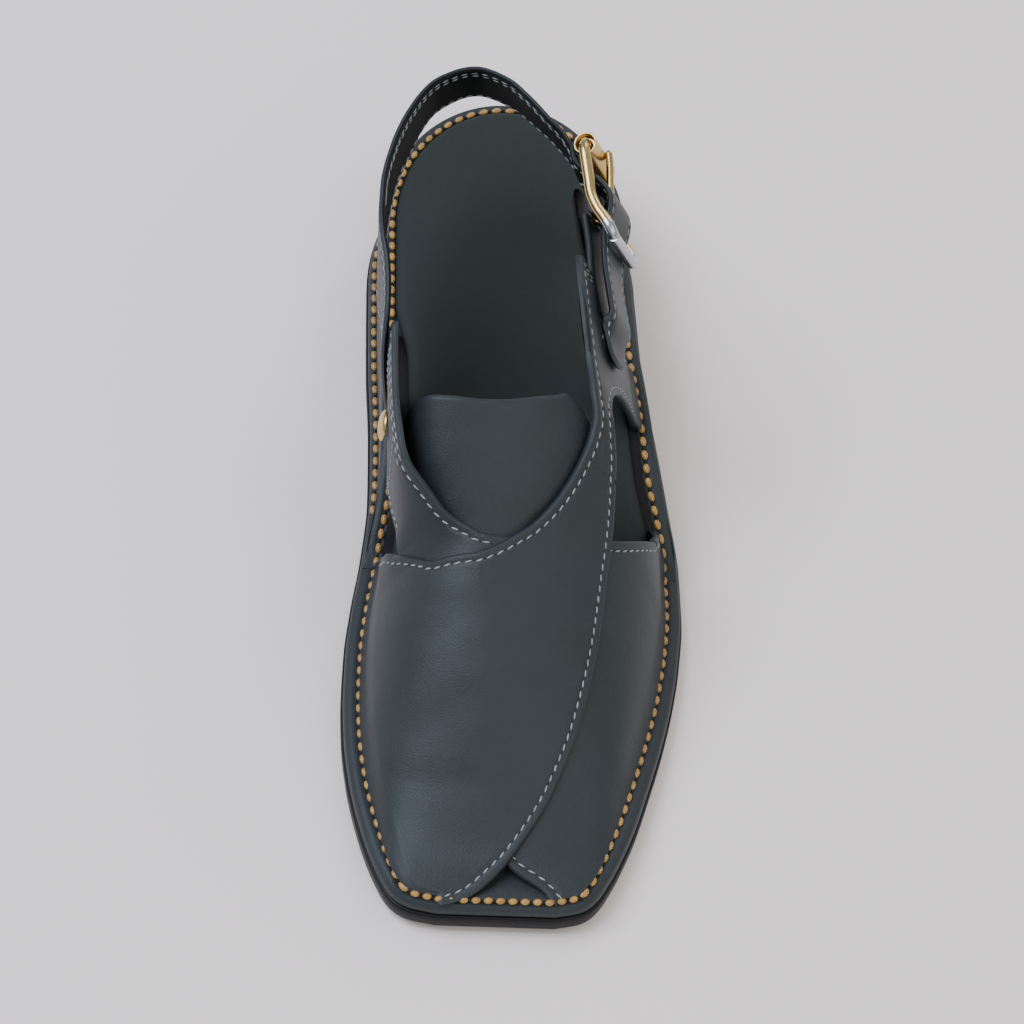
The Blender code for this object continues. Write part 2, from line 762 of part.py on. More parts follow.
def tail_row(forward, columns):
    """One row of the strap's tail, lying over the tab and the outer quarter, with a rounded end."""
    back = -0.42 * BUCKLE_LENGTH - forward * 1.12 * BUCKLE_LENGTH
    half = 0.42 * BUCKLE_WIDTH
    row = []
    for j in range(columns + 1):
        side = 2 * j / columns - 1
        inset = 0.34 * BUCKLE_WIDTH * (1 - math.sqrt(max(1 - side * side * 0.999, 0.0))) * ease(forward, 0.55, 1.0)
        rise = 0.05 * BUCKLE_WIDTH * ease(forward, 0.0, 1.0) + half * side
        lift = SEAM_GAP + (TAB_WALL + SEAM_GAP) * (1 - ease(forward, 0.62, 0.90))
        row.append(beside_quarter(back + inset, rise, lift))
    return row


def tube(path, radius, sides, closed, reference):
    """A round tube along a path. The reference direction keeps its sections from twisting."""
    verts = []
    faces = []
    count = len(path)
    for i, point in enumerate(path):
        before = path[(i - 1) % count] if closed or i else point
        after = path[(i + 1) % count] if closed or i < count - 1 else point
        along_path = (after - before) / np.linalg.norm(after - before)
        first = np.cross(along_path, reference)
        first /= np.linalg.norm(first)
        second = np.cross(along_path, first)
        for k in range(sides):
            turn = 2 * math.pi * k / sides
            verts.append(point + (first * math.cos(turn) + second * math.sin(turn)) * radius)
    for i in range(count if closed else count - 1):
        for k in range(sides):
            a = i * sides + k
            b = i * sides + (k + 1) % sides
            c = ((i + 1) % count) * sides + (k + 1) % sides
            d = ((i + 1) % count) * sides + k
            faces.append((a, b, c, d))
    if not closed:
        faces.append(tuple(range(sides)))
        faces.append(tuple((count - 1) * sides + k for k in range(sides)))
    return verts, faces


def cutter(name, verts, faces, made):
    obj = add_object(name, verts, faces, made, smooth=False, collection="cutters")
    obj.display_type = "WIRE"
    obj.hide_render = True
    return obj


def combine(target, tool, operation):
    modifier = target.modifiers.new(tool.name, "BOOLEAN")
    modifier.operation = operation
    modifier.solver = "EXACT"
    modifier.object = tool


def prong_path():
    """Eye round the centre bar, then back over the roller."""
    eye = BUCKLE_BAR / 2 + 0.0003 + PRONG_WIRE / 2
    path = []
    for k in range(10):
        turn = math.radians(-175 + 265 * k / 9)
        path.append(buckle_point(-eye * math.cos(turn), 0, eye * math.sin(turn)))
    rest = ROLLER_DIAMETER / 2 + PRONG_WIRE / 2 + 0.0002
    reach = 0.60 * BUCKLE_LENGTH
    for t in (0.2, 0.4, 0.6, 0.8, 0.92, 1.0, 1.08):
        path.append(buckle_point(reach * t, 0, eye + (rest - eye) * ease(t, 0.0, 1.0)))
    return path


def make_heel_strap(leather):
    columns = 6
    rows = [strap_row(k / 36, columns) for k in range(37)]
    rows += [threaded_row(k / 12, columns) for k in range(1, 13)]
    rows += [tail_row(k / 11, columns) for k in range(1, 12)]
    strap = thick_patch("heel_strap", rows, thicken(rows, STRAP_WALL, -1), leather)
    path = prong_path()
    slot = tube(path[9:13], PRONG_WIRE / 2 + 0.0004, 10, False, BUCKLE_UP)
    combine(strap, cutter("prong_slot", *slot, leather), "DIFFERENCE")
    return strap


def make_buckle(brass):
    half = BUCKLE_WIDTH / 2
    rear = 0.60 * BUCKLE_LENGTH
    front = -0.40 * BUCKLE_LENGTH
    corner = 0.16 * BUCKLE_WIDTH
    path = []
    for middle_back, middle_up, start in ((rear - corner, half - corner, 0), (front + corner, half - corner, 90),
                                          (front + corner, corner - half, 180), (rear - corner, corner - half, 270)):
        for k in range(5):
            turn = math.radians(start + 90 * k / 4)
            back = middle_back + corner * math.cos(turn)
            up = middle_up + corner * math.sin(turn)
            bow = 0.68 * ROLLER_DIAMETER * ease(-back, -0.05 * BUCKLE_LENGTH, -front)
            path.append(buckle_point(back, up, bow))
        if start == 0:
            path += [buckle_point(t * BUCKLE_LENGTH, half, 0.68 * ROLLER_DIAMETER * ease(-t, -0.05, 0.40))
                     for t in (0.35, 0.2, 0.05, -0.1, -0.2)]
        if start == 180:
            path += [buckle_point(t * BUCKLE_LENGTH, -half, 0.68 * ROLLER_DIAMETER * ease(-t, -0.05, 0.40))
                     for t in (-0.2, -0.1, 0.05, 0.2, 0.35)]
    frame = add_object("buckle_frame", *tube(path, BUCKLE_WIRE / 2, 10, True, BUCKLE_OUT), brass)
    bar = tube([buckle_point(0, t * half, 0.02 * ROLLER_DIAMETER) for t in (-1, 1)], BUCKLE_BAR / 2, 12, False,
               BUCKLE_OUT)
    combine(frame, cutter("centre_bar", *bar, brass), "UNION")
    barrel = 0.74 * BUCKLE_WIDTH / 2
    add_object("buckle_roller", *ring_in_buckle(rear, ROLLER_BORE / 2, ROLLER_DIAMETER / 2, barrel, 20), brass)
    add_object("buckle_prong", *tube(prong_path(), PRONG_WIRE / 2, 10, False, BUCKLE_UP), brass)


def ring_in_buckle(back, inner, outer, half, sides):
    """A short thick-walled tube, its axis up the buckle."""
    verts = []
    faces = []
    for radius, up in ((outer, -half), (outer, half), (inner, half), (inner, -half)):
        for k in range(sides):
            turn = 2 * math.pi * k / sides
            verts.append(buckle_point(back + radius * math.cos(turn), up, radius * math.sin(turn)))
    for ring in range(4):
        for k in range(sides):
            after = (k + 1) % sides
            low = ring * sides
            high = ((ring + 1) % 4) * sides
            faces.append((low + k, low + after, high + after, high + k))
    return verts, faces


def make_tab(leather):
    """Loop of leather round the centre bar, sewn to the outer quarter ahead of it."""
    inner = BUCKLE_BAR / 2 + SEAM_GAP
    outer = inner + EYE_WALL
    half = 0.32 * BUCKLE_WIDTH
    columns = 6
    top = []
    bottom = []
    for t in (0.06, 0.20, 0.35, 0.50, 0.65, 0.80, 0.95, 1.10):
        line = [(-t * BUCKLE_LENGTH, half * (2 * j / columns - 1)) for j in range(columns + 1)]
        bottom.append([beside_quarter(back, up, 0.0) for back, up in line])
        top.append([beside_quarter(back, up, TAB_WALL) for back, up in line])
    tab = thick_patch("buckle_tab", bottom, top, leather)
    combine(tab, cutter("tab_eye", *ring_in_buckle(0.0, inner, outer, half, 20), leather), "UNION")
    room = PRONG_WIRE / 2 + 0.0006
    slot = box_in_buckle((-outer * 1.6, outer * 1.6), (-room, room), (-outer * 1.6, outer * 1.6))
    combine(tab, cutter("tab_slot", *slot, leather), "DIFFERENCE")


def box_in_buckle(back, up, out):
    verts = [buckle_point(a, b, c) for a in back for b in up for c in out]
    faces = [(0, 1, 3, 2), (4, 6, 7, 5), (0, 4, 5, 1), (2, 3, 7, 6), (0, 2, 6, 4), (1, 5, 7, 3)]
    return verts, faces


def make_guard(lining):
    """Rounded flap behind the buckle, from the outer quarter's rear edge to the roller."""
    rows = []
    outer = []
    columns = 8
    length = 1.05 * BUCKLE_LENGTH
    half = 0.50 * BUCKLE_WIDTH
    for k in range(13):
        t = k / 12
        low = []
        high = []
        for j in range(columns + 1):
            side = 2 * j / columns - 1
            round_end = 0.38 * BUCKLE_WIDTH * (1 - math.sqrt(max(1 - side * side * 0.998, 0.0))) * ease(t, 0.4, 1.0)
            back = -0.72 * BUCKLE_LENGTH + length * t - round_end
            up = -0.14 * BUCKLE_WIDTH + half * side
            out = -0.90 * ROLLER_DIAMETER - GUARD_WALL
            plan = buckle_point(back, up, out)
            seam = quarter_rear(plan[2]) + SEAM_GAP * 1.5
            y = max(plan[1], seam) if t > 0 else seam
            wall = on_wall(y, plan[2], OVER_LIFT + 0.0002, 1)
            wall_out = on_wall(y, plan[2], OVER_LIFT + 0.0002 + GUARD_WALL, 1)
            blend = ease(t, 0.0, 0.5)
            low.append(wall + (plan - wall) * blend)
            high.append(wall_out + (plan + BUCKLE_OUT * GUARD_WALL - wall_out) * blend)
        rows.append(low)
        outer.append(high)
    return thick_patch("buckle_guard", rows, outer, lining)


def quarter_rear(z):
    """Where the outer quarter's rear edge stands at a height."""
    low = 0.845
    high = 1.0
    for _ in range(12):
        middle = (low + high) / 2
        if last_point(OVER_REAR["share"](middle), OVER_REAR["around"](middle), OVER_LIFT)[2] > z:
            low = middle
        else:
            high = middle
    return along(OVER_REAR["share"]((low + high) / 2))


def make_stud(brass):
    y = along(0.4477)
    z = 0.059
    base = on_wall(y, z, UNDER_WALL + SEAM_GAP, -1)
    lifted = on_wall(y, z, UNDER_WALL + SEAM_GAP + 0.001, -1)
    out = np.array([lifted[0] - base[0], 0.0, 0.15 * abs(lifted[0] - base[0])])
    out /= np.linalg.norm(out)
    side = np.cross(out, np.array([0.0, 0.0, 1.0]))
    side /= np.linalg.norm(side)
    up = np.cross(side, out)
    sides = 20
    profile = [(0.97, 0.0), (1.0, 0.12), (0.93, 0.42), (0.76, 0.70), (0.50, 0.89), (0.24, 0.98)]
    verts = []
    faces = [tuple(range(sides))]
    for radius, rise in profile:
        for k in range(sides):
            turn = 2 * math.pi * k / sides
            flat = (side * math.cos(turn) + up * math.sin(turn)) * radius * STUD_DIAMETER / 2
            verts.append(base + out * (0.0004 + rise * STUD_HEIGHT) + flat)
    verts.append(base + out * (0.0004 + STUD_HEIGHT))
    for ring in range(len(profile) - 1):
        for k in range(sides):
            after = (k + 1) % sides
            faces.append((ring * sides + k, ring * sides + after, (ring + 1) * sides + after, (ring + 1) * sides + k))
    last = (len(profile) - 1) * sides
    faces += [(last + k, last + (k + 1) % sides, len(verts) - 1) for k in range(sides)]
    return add_object("stud", verts, faces, brass)


def clear_scene():
    for obj in list(bpy.data.objects):
        bpy.data.objects.remove(obj, do_unlink=True)
    for name in (COLLECTION, "cutters"):
        group = bpy.data.collections.new(name)
        bpy.context.scene.collection.children.link(group)


def main():
    clear_scene()
    slate = material("slate_leather", (0.045, 0.055, 0.060), 0.5)
    footbed = material("footbed_leather", (0.040, 0.050, 0.048), 0.6)
    black = material("black_leather", (0.010, 0.011, 0.013), 0.5)
    rubber = material("black_rubber", (0.008, 0.009, 0.010), 0.6)
    brass = material("brass", (0.80, 0.55, 0.22), 0.25, 1.0)
    make_sole(rubber, slate, footbed)
    make_upper(slate)
    make_tongue(slate)
    make_heel_strap(slate)
    make_tab(slate)
    make_guard(black)
    make_buckle(brass)
    make_stud(brass)


main()
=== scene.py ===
"""Looks of a left-foot chappal: slate leather, waxed gold welt thread, grey lock stitches, brass buckle.

Metres, +Z up. The toe points to -Y, the heel to +Y and the outer side of the foot to +X.
"""
import math

import bpy
import numpy as np
from bpy.props import FloatProperty, FloatVectorProperty, PointerProperty
from bpy.types import Operator, Panel, PropertyGroup
from mathutils import Euler, Matrix, Vector


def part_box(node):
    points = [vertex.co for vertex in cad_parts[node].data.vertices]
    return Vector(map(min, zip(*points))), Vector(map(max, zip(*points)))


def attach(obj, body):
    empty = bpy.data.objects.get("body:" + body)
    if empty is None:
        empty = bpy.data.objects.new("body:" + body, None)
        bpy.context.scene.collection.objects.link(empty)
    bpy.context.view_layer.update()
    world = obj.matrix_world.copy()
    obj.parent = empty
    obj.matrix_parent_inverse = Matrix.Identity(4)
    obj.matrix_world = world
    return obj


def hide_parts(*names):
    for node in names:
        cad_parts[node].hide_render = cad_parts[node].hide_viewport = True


bl_info = {
    "name": "Chappal dresser",
    "version": (1, 0, 0),
    "blender": (4, 5, 0),
    "location": "View3D > Sidebar > Chappal",
    "description": "Builds the leather, thread and brass of a buckled chappal round its packed solids",
    "category": "Object",
}

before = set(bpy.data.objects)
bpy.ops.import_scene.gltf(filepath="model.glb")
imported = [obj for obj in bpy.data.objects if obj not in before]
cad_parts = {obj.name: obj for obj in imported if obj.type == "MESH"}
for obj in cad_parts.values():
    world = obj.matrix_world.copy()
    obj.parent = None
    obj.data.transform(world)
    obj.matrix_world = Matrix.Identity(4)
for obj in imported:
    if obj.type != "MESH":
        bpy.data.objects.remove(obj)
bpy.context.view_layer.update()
BODY = "root"

# Sizes of the shoe, the same as its solids have
SOLE_LENGTH = 0.287
HEEL_REACH = 0.0455
BALL_WIDTH = 0.099
OUTSOLE_THICKNESS = 0.005
WELT_THICKNESS = 0.004
HEEL_HEIGHT = 0.034
TOE_SPRING = 0.0026
ARCH_LIFT = 0.0013
INSOLE_THICKNESS = 0.0030
INSOLE_CROWN = 0.0012
INSTEP_HEIGHT = 0.080
UNDER_WALL = 0.0020
OVER_WALL = 0.0022
OVER_LIFT = 0.0010
TONGUE_WALL = 0.0024
STRAP_WALL = 0.0018
GUARD_WALL = 0.0014
TAB_WALL = 0.0024
EYE_WALL = 0.0014
SEAM_GAP = 0.0003
THREAD_INSET = 0.0052
FEATHER_ROOM = 0.0036
RIM_MARGIN = 0.0036
BUCKLE_LENGTH = 0.032
BUCKLE_WIDTH = 0.024
BUCKLE_WIRE = 0.0030
BUCKLE_BAR = 0.0024
ROLLER_DIAMETER = 0.0062
ROLLER_BORE = 0.0036
PRONG_WIRE = 0.0022
STUD_DIAMETER = 0.0090
STUD_HEIGHT = 0.0026
STRAP_HEIGHT = 0.100
HEEL_ROUND = 0.800
WEDGE_START = 0.400
FOOTBED_START = 0.07
TOE_Y = HEEL_REACH - SOLE_LENGTH
# Room under the bands' feet, and between the quarters and what lies on them
LAST_GAP = 1.7 * SEAM_GAP
QUARTER_GAP = 1.5 * SEAM_GAP
# Not in the solids: how far the wedge's front end lies in the welt, and how far the seat's rim stands up
WEDGE_SINK = 0.0006
RIM_RISE = 0.0011
# How far ahead of the heel strap's panel the quarter's own row of stitches runs
QUARTER_ROW = 0.0026
MM = 0.001


class Curve:
    """Smooth curve through a short table that never overshoots its values."""

    def __init__(self, knots, values):
        self.x = np.array(knots, float)
        self.y = np.array(values, float)
        step = np.diff(self.x)
        slope = np.diff(self.y) / step
        before, after = slope[:-1], slope[1:]
        w1 = 2 * step[1:] + step[:-1]
        w2 = step[1:] + 2 * step[:-1]
        bends = before * after > 0
        inner = np.zeros(len(bends))
        inner[bends] = (w1 + w2)[bends] / (w1[bends] / before[bends] + w2[bends] / after[bends])
        self.tangent = np.concatenate([slope[:1], inner, slope[-1:]])

    def __call__(self, at):
        at = np.clip(at, self.x[0], self.x[-1])
        i = np.clip(np.searchsorted(self.x, at, side="right") - 1, 0, len(self.x) - 2)
        h = self.x[i + 1] - self.x[i]
        t = (at - self.x[i]) / h
        value = (1 + 2 * t) * (1 - t) ** 2 * self.y[i] + t * (1 - t) ** 2 * h * self.tangent[i]
        return value + t * t * (3 - 2 * t) * self.y[i + 1] + t * t * (t - 1) * h * self.tangent[i + 1]


def table(rows):
    """One curve per column, named by the first row and run along the first column."""
    knots = [row[0] for row in rows[1:]]
    return {name: Curve(knots, [row[k] for row in rows[1:]]) for k, name in enumerate(rows[0])}


# Sole edge, from the toe: half widths as shares of the ball width
OUTLINE = table([
    ("share", "medial", "lateral"),
    (0.000, 0.162, 0.167),
    (0.006, 0.242, 0.237),
    (0.018, 0.291, 0.281),
    (0.040, 0.327, 0.321),
    (0.065, 0.356, 0.356),
    (0.100, 0.387, 0.397),
    (0.150, 0.419, 0.443),
    (0.200, 0.437, 0.485),
    (0.250, 0.443, 0.519),
    (0.300, 0.440, 0.543),
    (0.360, 0.424, 0.558),
    (0.420, 0.401, 0.556),
    (0.500, 0.384, 0.533),
    (0.580, 0.387, 0.507),
    (0.680, 0.400, 0.472),
    (0.800, 0.407, 0.454),
])
SOLE_BOTTOM = table([
    ("share", "spring", "arch"),
    (0.00, 1.00, 0.0),
    (0.08, 0.50, 0.0),
    (0.16, 0.14, 0.0),
    (0.24, 0.00, 0.0),
    (0.44, 0.00, 0.0),
    (0.52, 0.00, 1.0),
    (0.60, 0.00, 1.0),
    (0.66, 0.00, 0.0),
    (1.00, 0.00, 0.0),
])
SOLE_TOP = table([
    ("share", "rise"),
    (0.400, 0.03),
    (0.430, 0.13),
    (0.455, 0.28),
    (0.485, 0.46),
    (0.515, 0.60),
    (0.553, 0.72),
    (0.620, 0.81),
    (0.700, 0.88),
    (0.850, 0.96),
    (1.000, 1.00),
])
THREAD = table([
    ("share", "medial", "lateral"),
    (0.00, 0.62, 0.62),
    (0.04, 0.85, 0.85),
    (0.10, 0.98, 0.98),
    (0.42, 1.02, 1.02),
    (0.46, 1.19, 1.35),
    (0.49, 1.25, 1.58),
    (0.52, 1.31, 1.65),
    (0.70, 1.33, 1.67),
    (0.90, 1.35, 1.65),
    (1.00, 1.50, 1.50),
])

# Sections of the last, from the toe, as in the solids: the bands lie on LAST, the tongue on TONGUE_LAST
LAST = table([
    ("share", "medial_top", "lateral_top", "ridge", "swell", "medial_power", "lateral_power"),
    (0.002, 0.030, 0.030, 0.02, 0.000, 2.2, 2.0),
    (0.045, 0.045, 0.045, 0.01, 0.000, 2.1, 2.0),
    (0.090, 0.115, 0.115, 0.00, 0.000, 2.0, 1.9),
    (0.145, 0.230, 0.230, -0.02, 0.000, 1.9, 1.9),
    (0.195, 0.345, 0.345, -0.04, 0.000, 1.85, 1.8),
    (0.250, 0.455, 0.455, -0.06, 0.000, 1.8, 1.75),
    (0.312, 0.570, 0.570, -0.07, -0.005, 1.8, 1.75),
    (0.335, 0.618, 0.622, -0.07, -0.022, 2.4, 1.78),
    (0.355, 0.700, 0.680, -0.07, -0.042, 4.6, 1.8),
    (0.395, 0.900, 0.790, -0.08, -0.015, 8.0, 1.85),
    (0.437, 1.000, 0.925, -0.08, 0.020, 8.0, 1.78),
    (0.465, 1.080, 1.120, -0.08, 0.040, 7.0, 1.46),
    (0.495, 1.180, 1.360, -0.08, 0.052, 6.0, 1.23),
    (0.530, 1.250, 1.480, -0.08, 0.055, 5.5, 1.16),
    (0.640, 1.350, 1.520, -0.08, 0.055, 5.5, 1.14),
])
TONGUE_LAST = table([
    ("share", "medial_top", "lateral_top", "ridge", "swell", "medial_power", "lateral_power"),
    (0.195, 0.345, 0.345, -0.04, -0.010, 1.9, 1.8),
    (0.250, 0.455, 0.455, -0.06, -0.010, 1.9, 1.75),
    (0.312, 0.562, 0.562, -0.07, -0.020, 1.9, 1.75),
    (0.335, 0.606, 0.606, -0.07, -0.034, 2.3, 1.75),
    (0.355, 0.665, 0.665, -0.07, -0.048, 3.0, 1.8),
    (0.395, 0.785, 0.785, -0.08, -0.022, 3.8, 1.85),
    (0.437, 0.905, 0.905, -0.08, 0.012, 3.8, 1.80),
    (0.480, 1.040, 1.040, -0.08, 0.020, 3.8, 1.60),
])
OVER_FRONT = table([
    ("run", "share", "around"),
    (0.00, 0.014, 0.000),
    (0.05, 0.010, 0.100),
    (0.10, 0.011, 0.186),
    (0.18, 0.020, 0.361),
    (0.26, 0.044, 0.510),
    (0.36, 0.105, 0.651),
    (0.46, 0.186, 0.719),
    (0.56, 0.255, 0.739),
    (0.66, 0.332, 0.744),
    (0.78, 0.438, 0.752),
    (0.86, 0.495, 0.850),
    (0.93, 0.525, 0.933),
    (1.00, 0.545, 1.000),
])
OVER_REAR = table([
    ("run", "share", "around"),
    (0.00, 0.405, 0.000),
    (0.08, 0.375, 0.075),
    (0.13, 0.358, 0.118),
    (0.18, 0.339, 0.192),
    (0.21, 0.332, 0.232),
    (0.26, 0.320, 0.300),
    (0.33, 0.309, 0.368),
    (0.42, 0.308, 0.478),
    (0.50, 0.330, 0.562),
    (0.58, 0.380, 0.647),
    (0.66, 0.440, 0.703),
    (0.73, 0.510, 0.753),
    (0.80, 0.580, 0.748),
    (0.845, 0.604, 0.754),
    (0.90, 0.610, 0.828),
    (1.00, 0.618, 1.000),
])
UNDER_FRONT = table([
    ("run", "share", "around"),
    (0.00, 0.465, 0.000),
    (0.04, 0.456, 0.022),
    (0.07, 0.446, 0.053),
    (0.10, 0.430, 0.092),
    (0.14, 0.404, 0.128),
    (0.18, 0.376, 0.155),
    (0.22, 0.350, 0.190),
    (0.32, 0.270, 0.265),
    (0.48, 0.180, 0.365),
    (0.64, 0.095, 0.452),
    (0.76, 0.048, 0.515),
    (0.88, 0.030, 0.660),
    (1.00, 0.013, 1.000),
])
# Along the inner quarter this edge runs smoother than that of its solid
UNDER_REAR = table([
    ("run", "share", "around"),
    (0.00, 0.515, 0.000),
    (0.05, 0.517, 0.100),
    (0.09, 0.512, 0.185),
    (0.12, 0.500, 0.216),
    (0.15, 0.472, 0.222),
    (0.18, 0.443, 0.228),
    (0.21, 0.414, 0.231),
    (0.25, 0.396, 0.236),
    (0.29, 0.378, 0.252),
    (0.34, 0.359, 0.304),
    (0.39, 0.346, 0.358),
    (0.45, 0.334, 0.440),
    (0.53, 0.324, 0.520),
    (0.60, 0.325, 0.565),
    (0.66, 0.333, 0.630),
    (0.76, 0.350, 0.745),
    (0.88, 0.388, 0.878),
    (1.00, 0.446, 1.000),
])
TONGUE_TOP = table([
    ("across", "share", "around"),
    (0.00, 0.462, 0.165),
    (0.08, 0.447, 0.225),
    (0.17, 0.438, 0.290),
    (0.30, 0.431, 0.365),
    (0.50, 0.428, 0.500),
    (0.78, 0.446, 0.630),
    (0.88, 0.455, 0.668),
    (1.00, 0.444, 0.718),
])
TONGUE_FOOT = table([
    ("across", "share", "around"),
    (0.00, 0.315, 0.242),
    (0.50, 0.255, 0.468),
    (1.00, 0.315, 0.704),
])
FOOTBED = table([
    ("share", "thickness", "extra_inset"),
    (0.07, 0.20, 3.0),
    (0.10, 0.40, 1.5),
    (0.16, 0.80, 0.4),
    (0.24, 1.00, 0.2),
    (0.62, 1.00, 0.2),
    (0.69, 1.00, -0.7),
    (1.00, 1.00, -0.7),
])
STRAP = table([
    ("run", "top_across", "top_along", "top_up", "low_across", "low_along", "low_up"),
    (0.000, -0.350, -0.325, 0.235, -0.350, -0.268, 0.260),
    (0.050, -0.355, -0.330, 0.360, -0.355, -0.271, 0.345),
    (0.100, -0.360, -0.337, 0.520, -0.358, -0.275, 0.420),
    (0.145, -0.360, -0.344, 0.700, -0.360, -0.276, 0.470),
    (0.180, -0.362, -0.345, 0.800, -0.362, -0.275, 0.500),
    (0.210, -0.365, -0.334, 0.866, -0.363, -0.272, 0.525),
    (0.250, -0.368, -0.300, 0.904, -0.365, -0.262, 0.553),
    (0.310, -0.375, -0.245, 0.945, -0.367, -0.235, 0.590),
    (0.380, -0.372, -0.190, 0.965, -0.362, -0.183, 0.645),
    (0.450, -0.350, -0.145, 0.976, -0.345, -0.130, 0.700),
    (0.520, -0.305, -0.096, 0.980, -0.300, -0.080, 0.745),
    (0.590, -0.225, -0.050, 0.980, -0.222, -0.026, 0.776),
    (0.660, -0.118, -0.032, 0.980, -0.100, -0.001, 0.784),
    (0.730, -0.030, -0.043, 0.976, -0.008, -0.012, 0.780),
    (0.800, 0.036, -0.064, 0.964, 0.076, -0.036, 0.768),
    (0.870, 0.095, -0.084, 0.940, 0.150, -0.060, 0.746),
    (0.940, 0.140, -0.094, 0.910, 0.203, -0.080, 0.716),
    (1.000, 0.165, -0.103, 0.880, 0.238, -0.096, 0.690),
])
THREADED = table([
    ("run", "back", "out"),
    (0.00, 0.62, -0.72),
    (0.10, 0.50, -0.68),
    (0.20, 0.38, -0.44),
    (0.30, 0.25, 0.14),
    (0.40, 0.12, 0.66),
    (0.50, 0.00, 0.79),
    (0.65, -0.14, 0.58),
    (0.80, -0.27, 0.28),
    (1.00, -0.42, 0.15),
])

# Directions of the buckle: towards the heel, up and outwards
BUCKLE_AT = np.array([0.276 * BALL_WIDTH, -0.155 * SOLE_LENGTH, 0.767 * STRAP_HEIGHT])
BUCKLE_BACK = np.array([-0.14, 0.955, 0.26])
BUCKLE_BACK = BUCKLE_BACK / np.linalg.norm(BUCKLE_BACK)
BUCKLE_UP = np.array([-0.38, -0.25, 0.89])
BUCKLE_UP = BUCKLE_UP - BUCKLE_BACK * np.dot(BUCKLE_UP, BUCKLE_BACK)
BUCKLE_UP = BUCKLE_UP / np.linalg.norm(BUCKLE_UP)
BUCKLE_OUT = np.cross(BUCKLE_BACK, BUCKLE_UP)

# Creases pressed into the leather: centre on the last, half length, half width and depth in mm, turn in
# degrees
CREASES = [
    # share, around, half length, half width, depth, turn
    (0.118, 0.42, 26.0, 5.5, 0.20, 8.0),
    (0.175, 0.34, 30.0, 7.0, 0.28, -6.0),
    (0.215, 0.60, 22.0, 6.0, 0.20, 14.0),
    (0.255, 0.44, 26.0, 6.5, 0.24, -4.0),
    (0.285, 0.24, 15.0, 5.0, 0.24, 28.0),
    (0.360, 0.16, 13.0, 4.5, 0.20, -34.0),
    (0.425, 0.72, 17.0, 5.0, 0.24, 62.0),
    (0.145, 0.80, 18.0, 5.0, 0.24, 40.0),
    (0.250, 0.86, 16.0, 4.5, 0.24, -18.0),
    (0.330, 0.90, 12.0, 4.0, 0.20, 22.0),
]

# Rows of grey lock stitches on the bands and on the heel strap: the edge that each follows, how far in from
# it in mm, and the shares of the piece's run where it starts and ends
UNDER_SEAMS = [
    ("rear", 2.5, 0.065, 0.52),
    ("rear", 4.9, 0.125, 0.228),
    ("rear", 2.8, 0.585, 0.985),
    ("front", 2.4, 0.02, 0.22),
    ("front", 4.3, 0.02, 0.135),
    ("front", 2.5, 0.64, 0.965),
]
OVER_SEAMS = [
    ("rear", 2.5, 0.05, 0.835),
    ("rear", 2.8, 0.855, 0.985),
    ("rear", 4.7, 0.860, 0.985),
    ("front", 2.5, 0.10, 0.985),
]
STRAP_SEAMS = [
    ("top", 2.0, 0.02, 0.985),
    ("top", 3.8, 0.02, 0.60),
    ("low", 2.0, 0.02, 0.985),
    ("low", 3.8, 0.02, 0.30),
]

# How deep and wide the stitches pull a groove into the bands and into the strap
SEAM_DEPTH = 0.22 * MM
SEAM_WIDTH = 0.65 * MM
STRAP_SEAM_DEPTH = 0.26 * MM
STRAP_SEAM_WIDTH = 0.6 * MM

# Columns that lie close to a band's edge, where its roll and its seams are
EDGE_STEPS = np.array([0, 0.12, 0.28, 0.5, 0.8, 1.15, 1.6, 2.0, 2.3, 2.55, 2.8, 3.05, 3.3, 3.6, 4.1, 4.5, 4.8,
                       5.1, 5.6]) * MM

# The same for a strap, as shares of its width
STRAP_EDGE = np.array([0, 0.008, 0.02, 0.035, 0.055, 0.08, 0.10, 0.12, 0.145, 0.17, 0.195, 0.22, 0.26, 0.33,
                       0.42])
STRAP_ACROSS = np.concatenate([STRAP_EDGE, [0.5], 1 - STRAP_EDGE[::-1]])


def unit(vectors):
    """The same directions at length 1."""
    return vectors / np.linalg.norm(vectors, axis=-1, keepdims=True)


def sole_half(share, side):
    """Half width of the sole: side is -1 for the inner and 1 for the outer side."""
    return BALL_WIDTH * np.where(side < 0, OUTLINE["medial"](share), OUTLINE["lateral"](share))


def along(share):
    """y at a share of the sole's length from the toe."""
    return TOE_Y + share * SOLE_LENGTH


def share_at(y):
    """Share of the sole's length from the toe at y."""
    return np.clip((y - TOE_Y) / SOLE_LENGTH, 0.0, 1.0)


def edge_point(share, side):
    """Points of the sole edge: a table as far as the heel seat, then half an ellipse."""
    share, side = np.broadcast_arrays(np.asarray(share, float), side)
    inner = float(sole_half(HEEL_ROUND, -1))
    outer = float(sole_half(HEEL_ROUND, 1))
    drop = np.clip((share - HEEL_ROUND) / (1.0 - HEEL_ROUND), 0.0, 1.0)
    reach = np.sqrt(np.maximum(1.0 - drop * drop, 0.0))
    round_x = (outer - inner) / 2 + side * reach * (outer + inner) / 2
    x = np.where(share <= HEEL_ROUND, side * sole_half(share, side), round_x)
    return np.stack([x, along(share)], axis=-1)


def thread_inset(share, side):
    """How far in from the sole's edge the gold thread runs."""
    return THREAD_INSET * np.where(side < 0, THREAD["medial"](share), THREAD["lateral"](share))


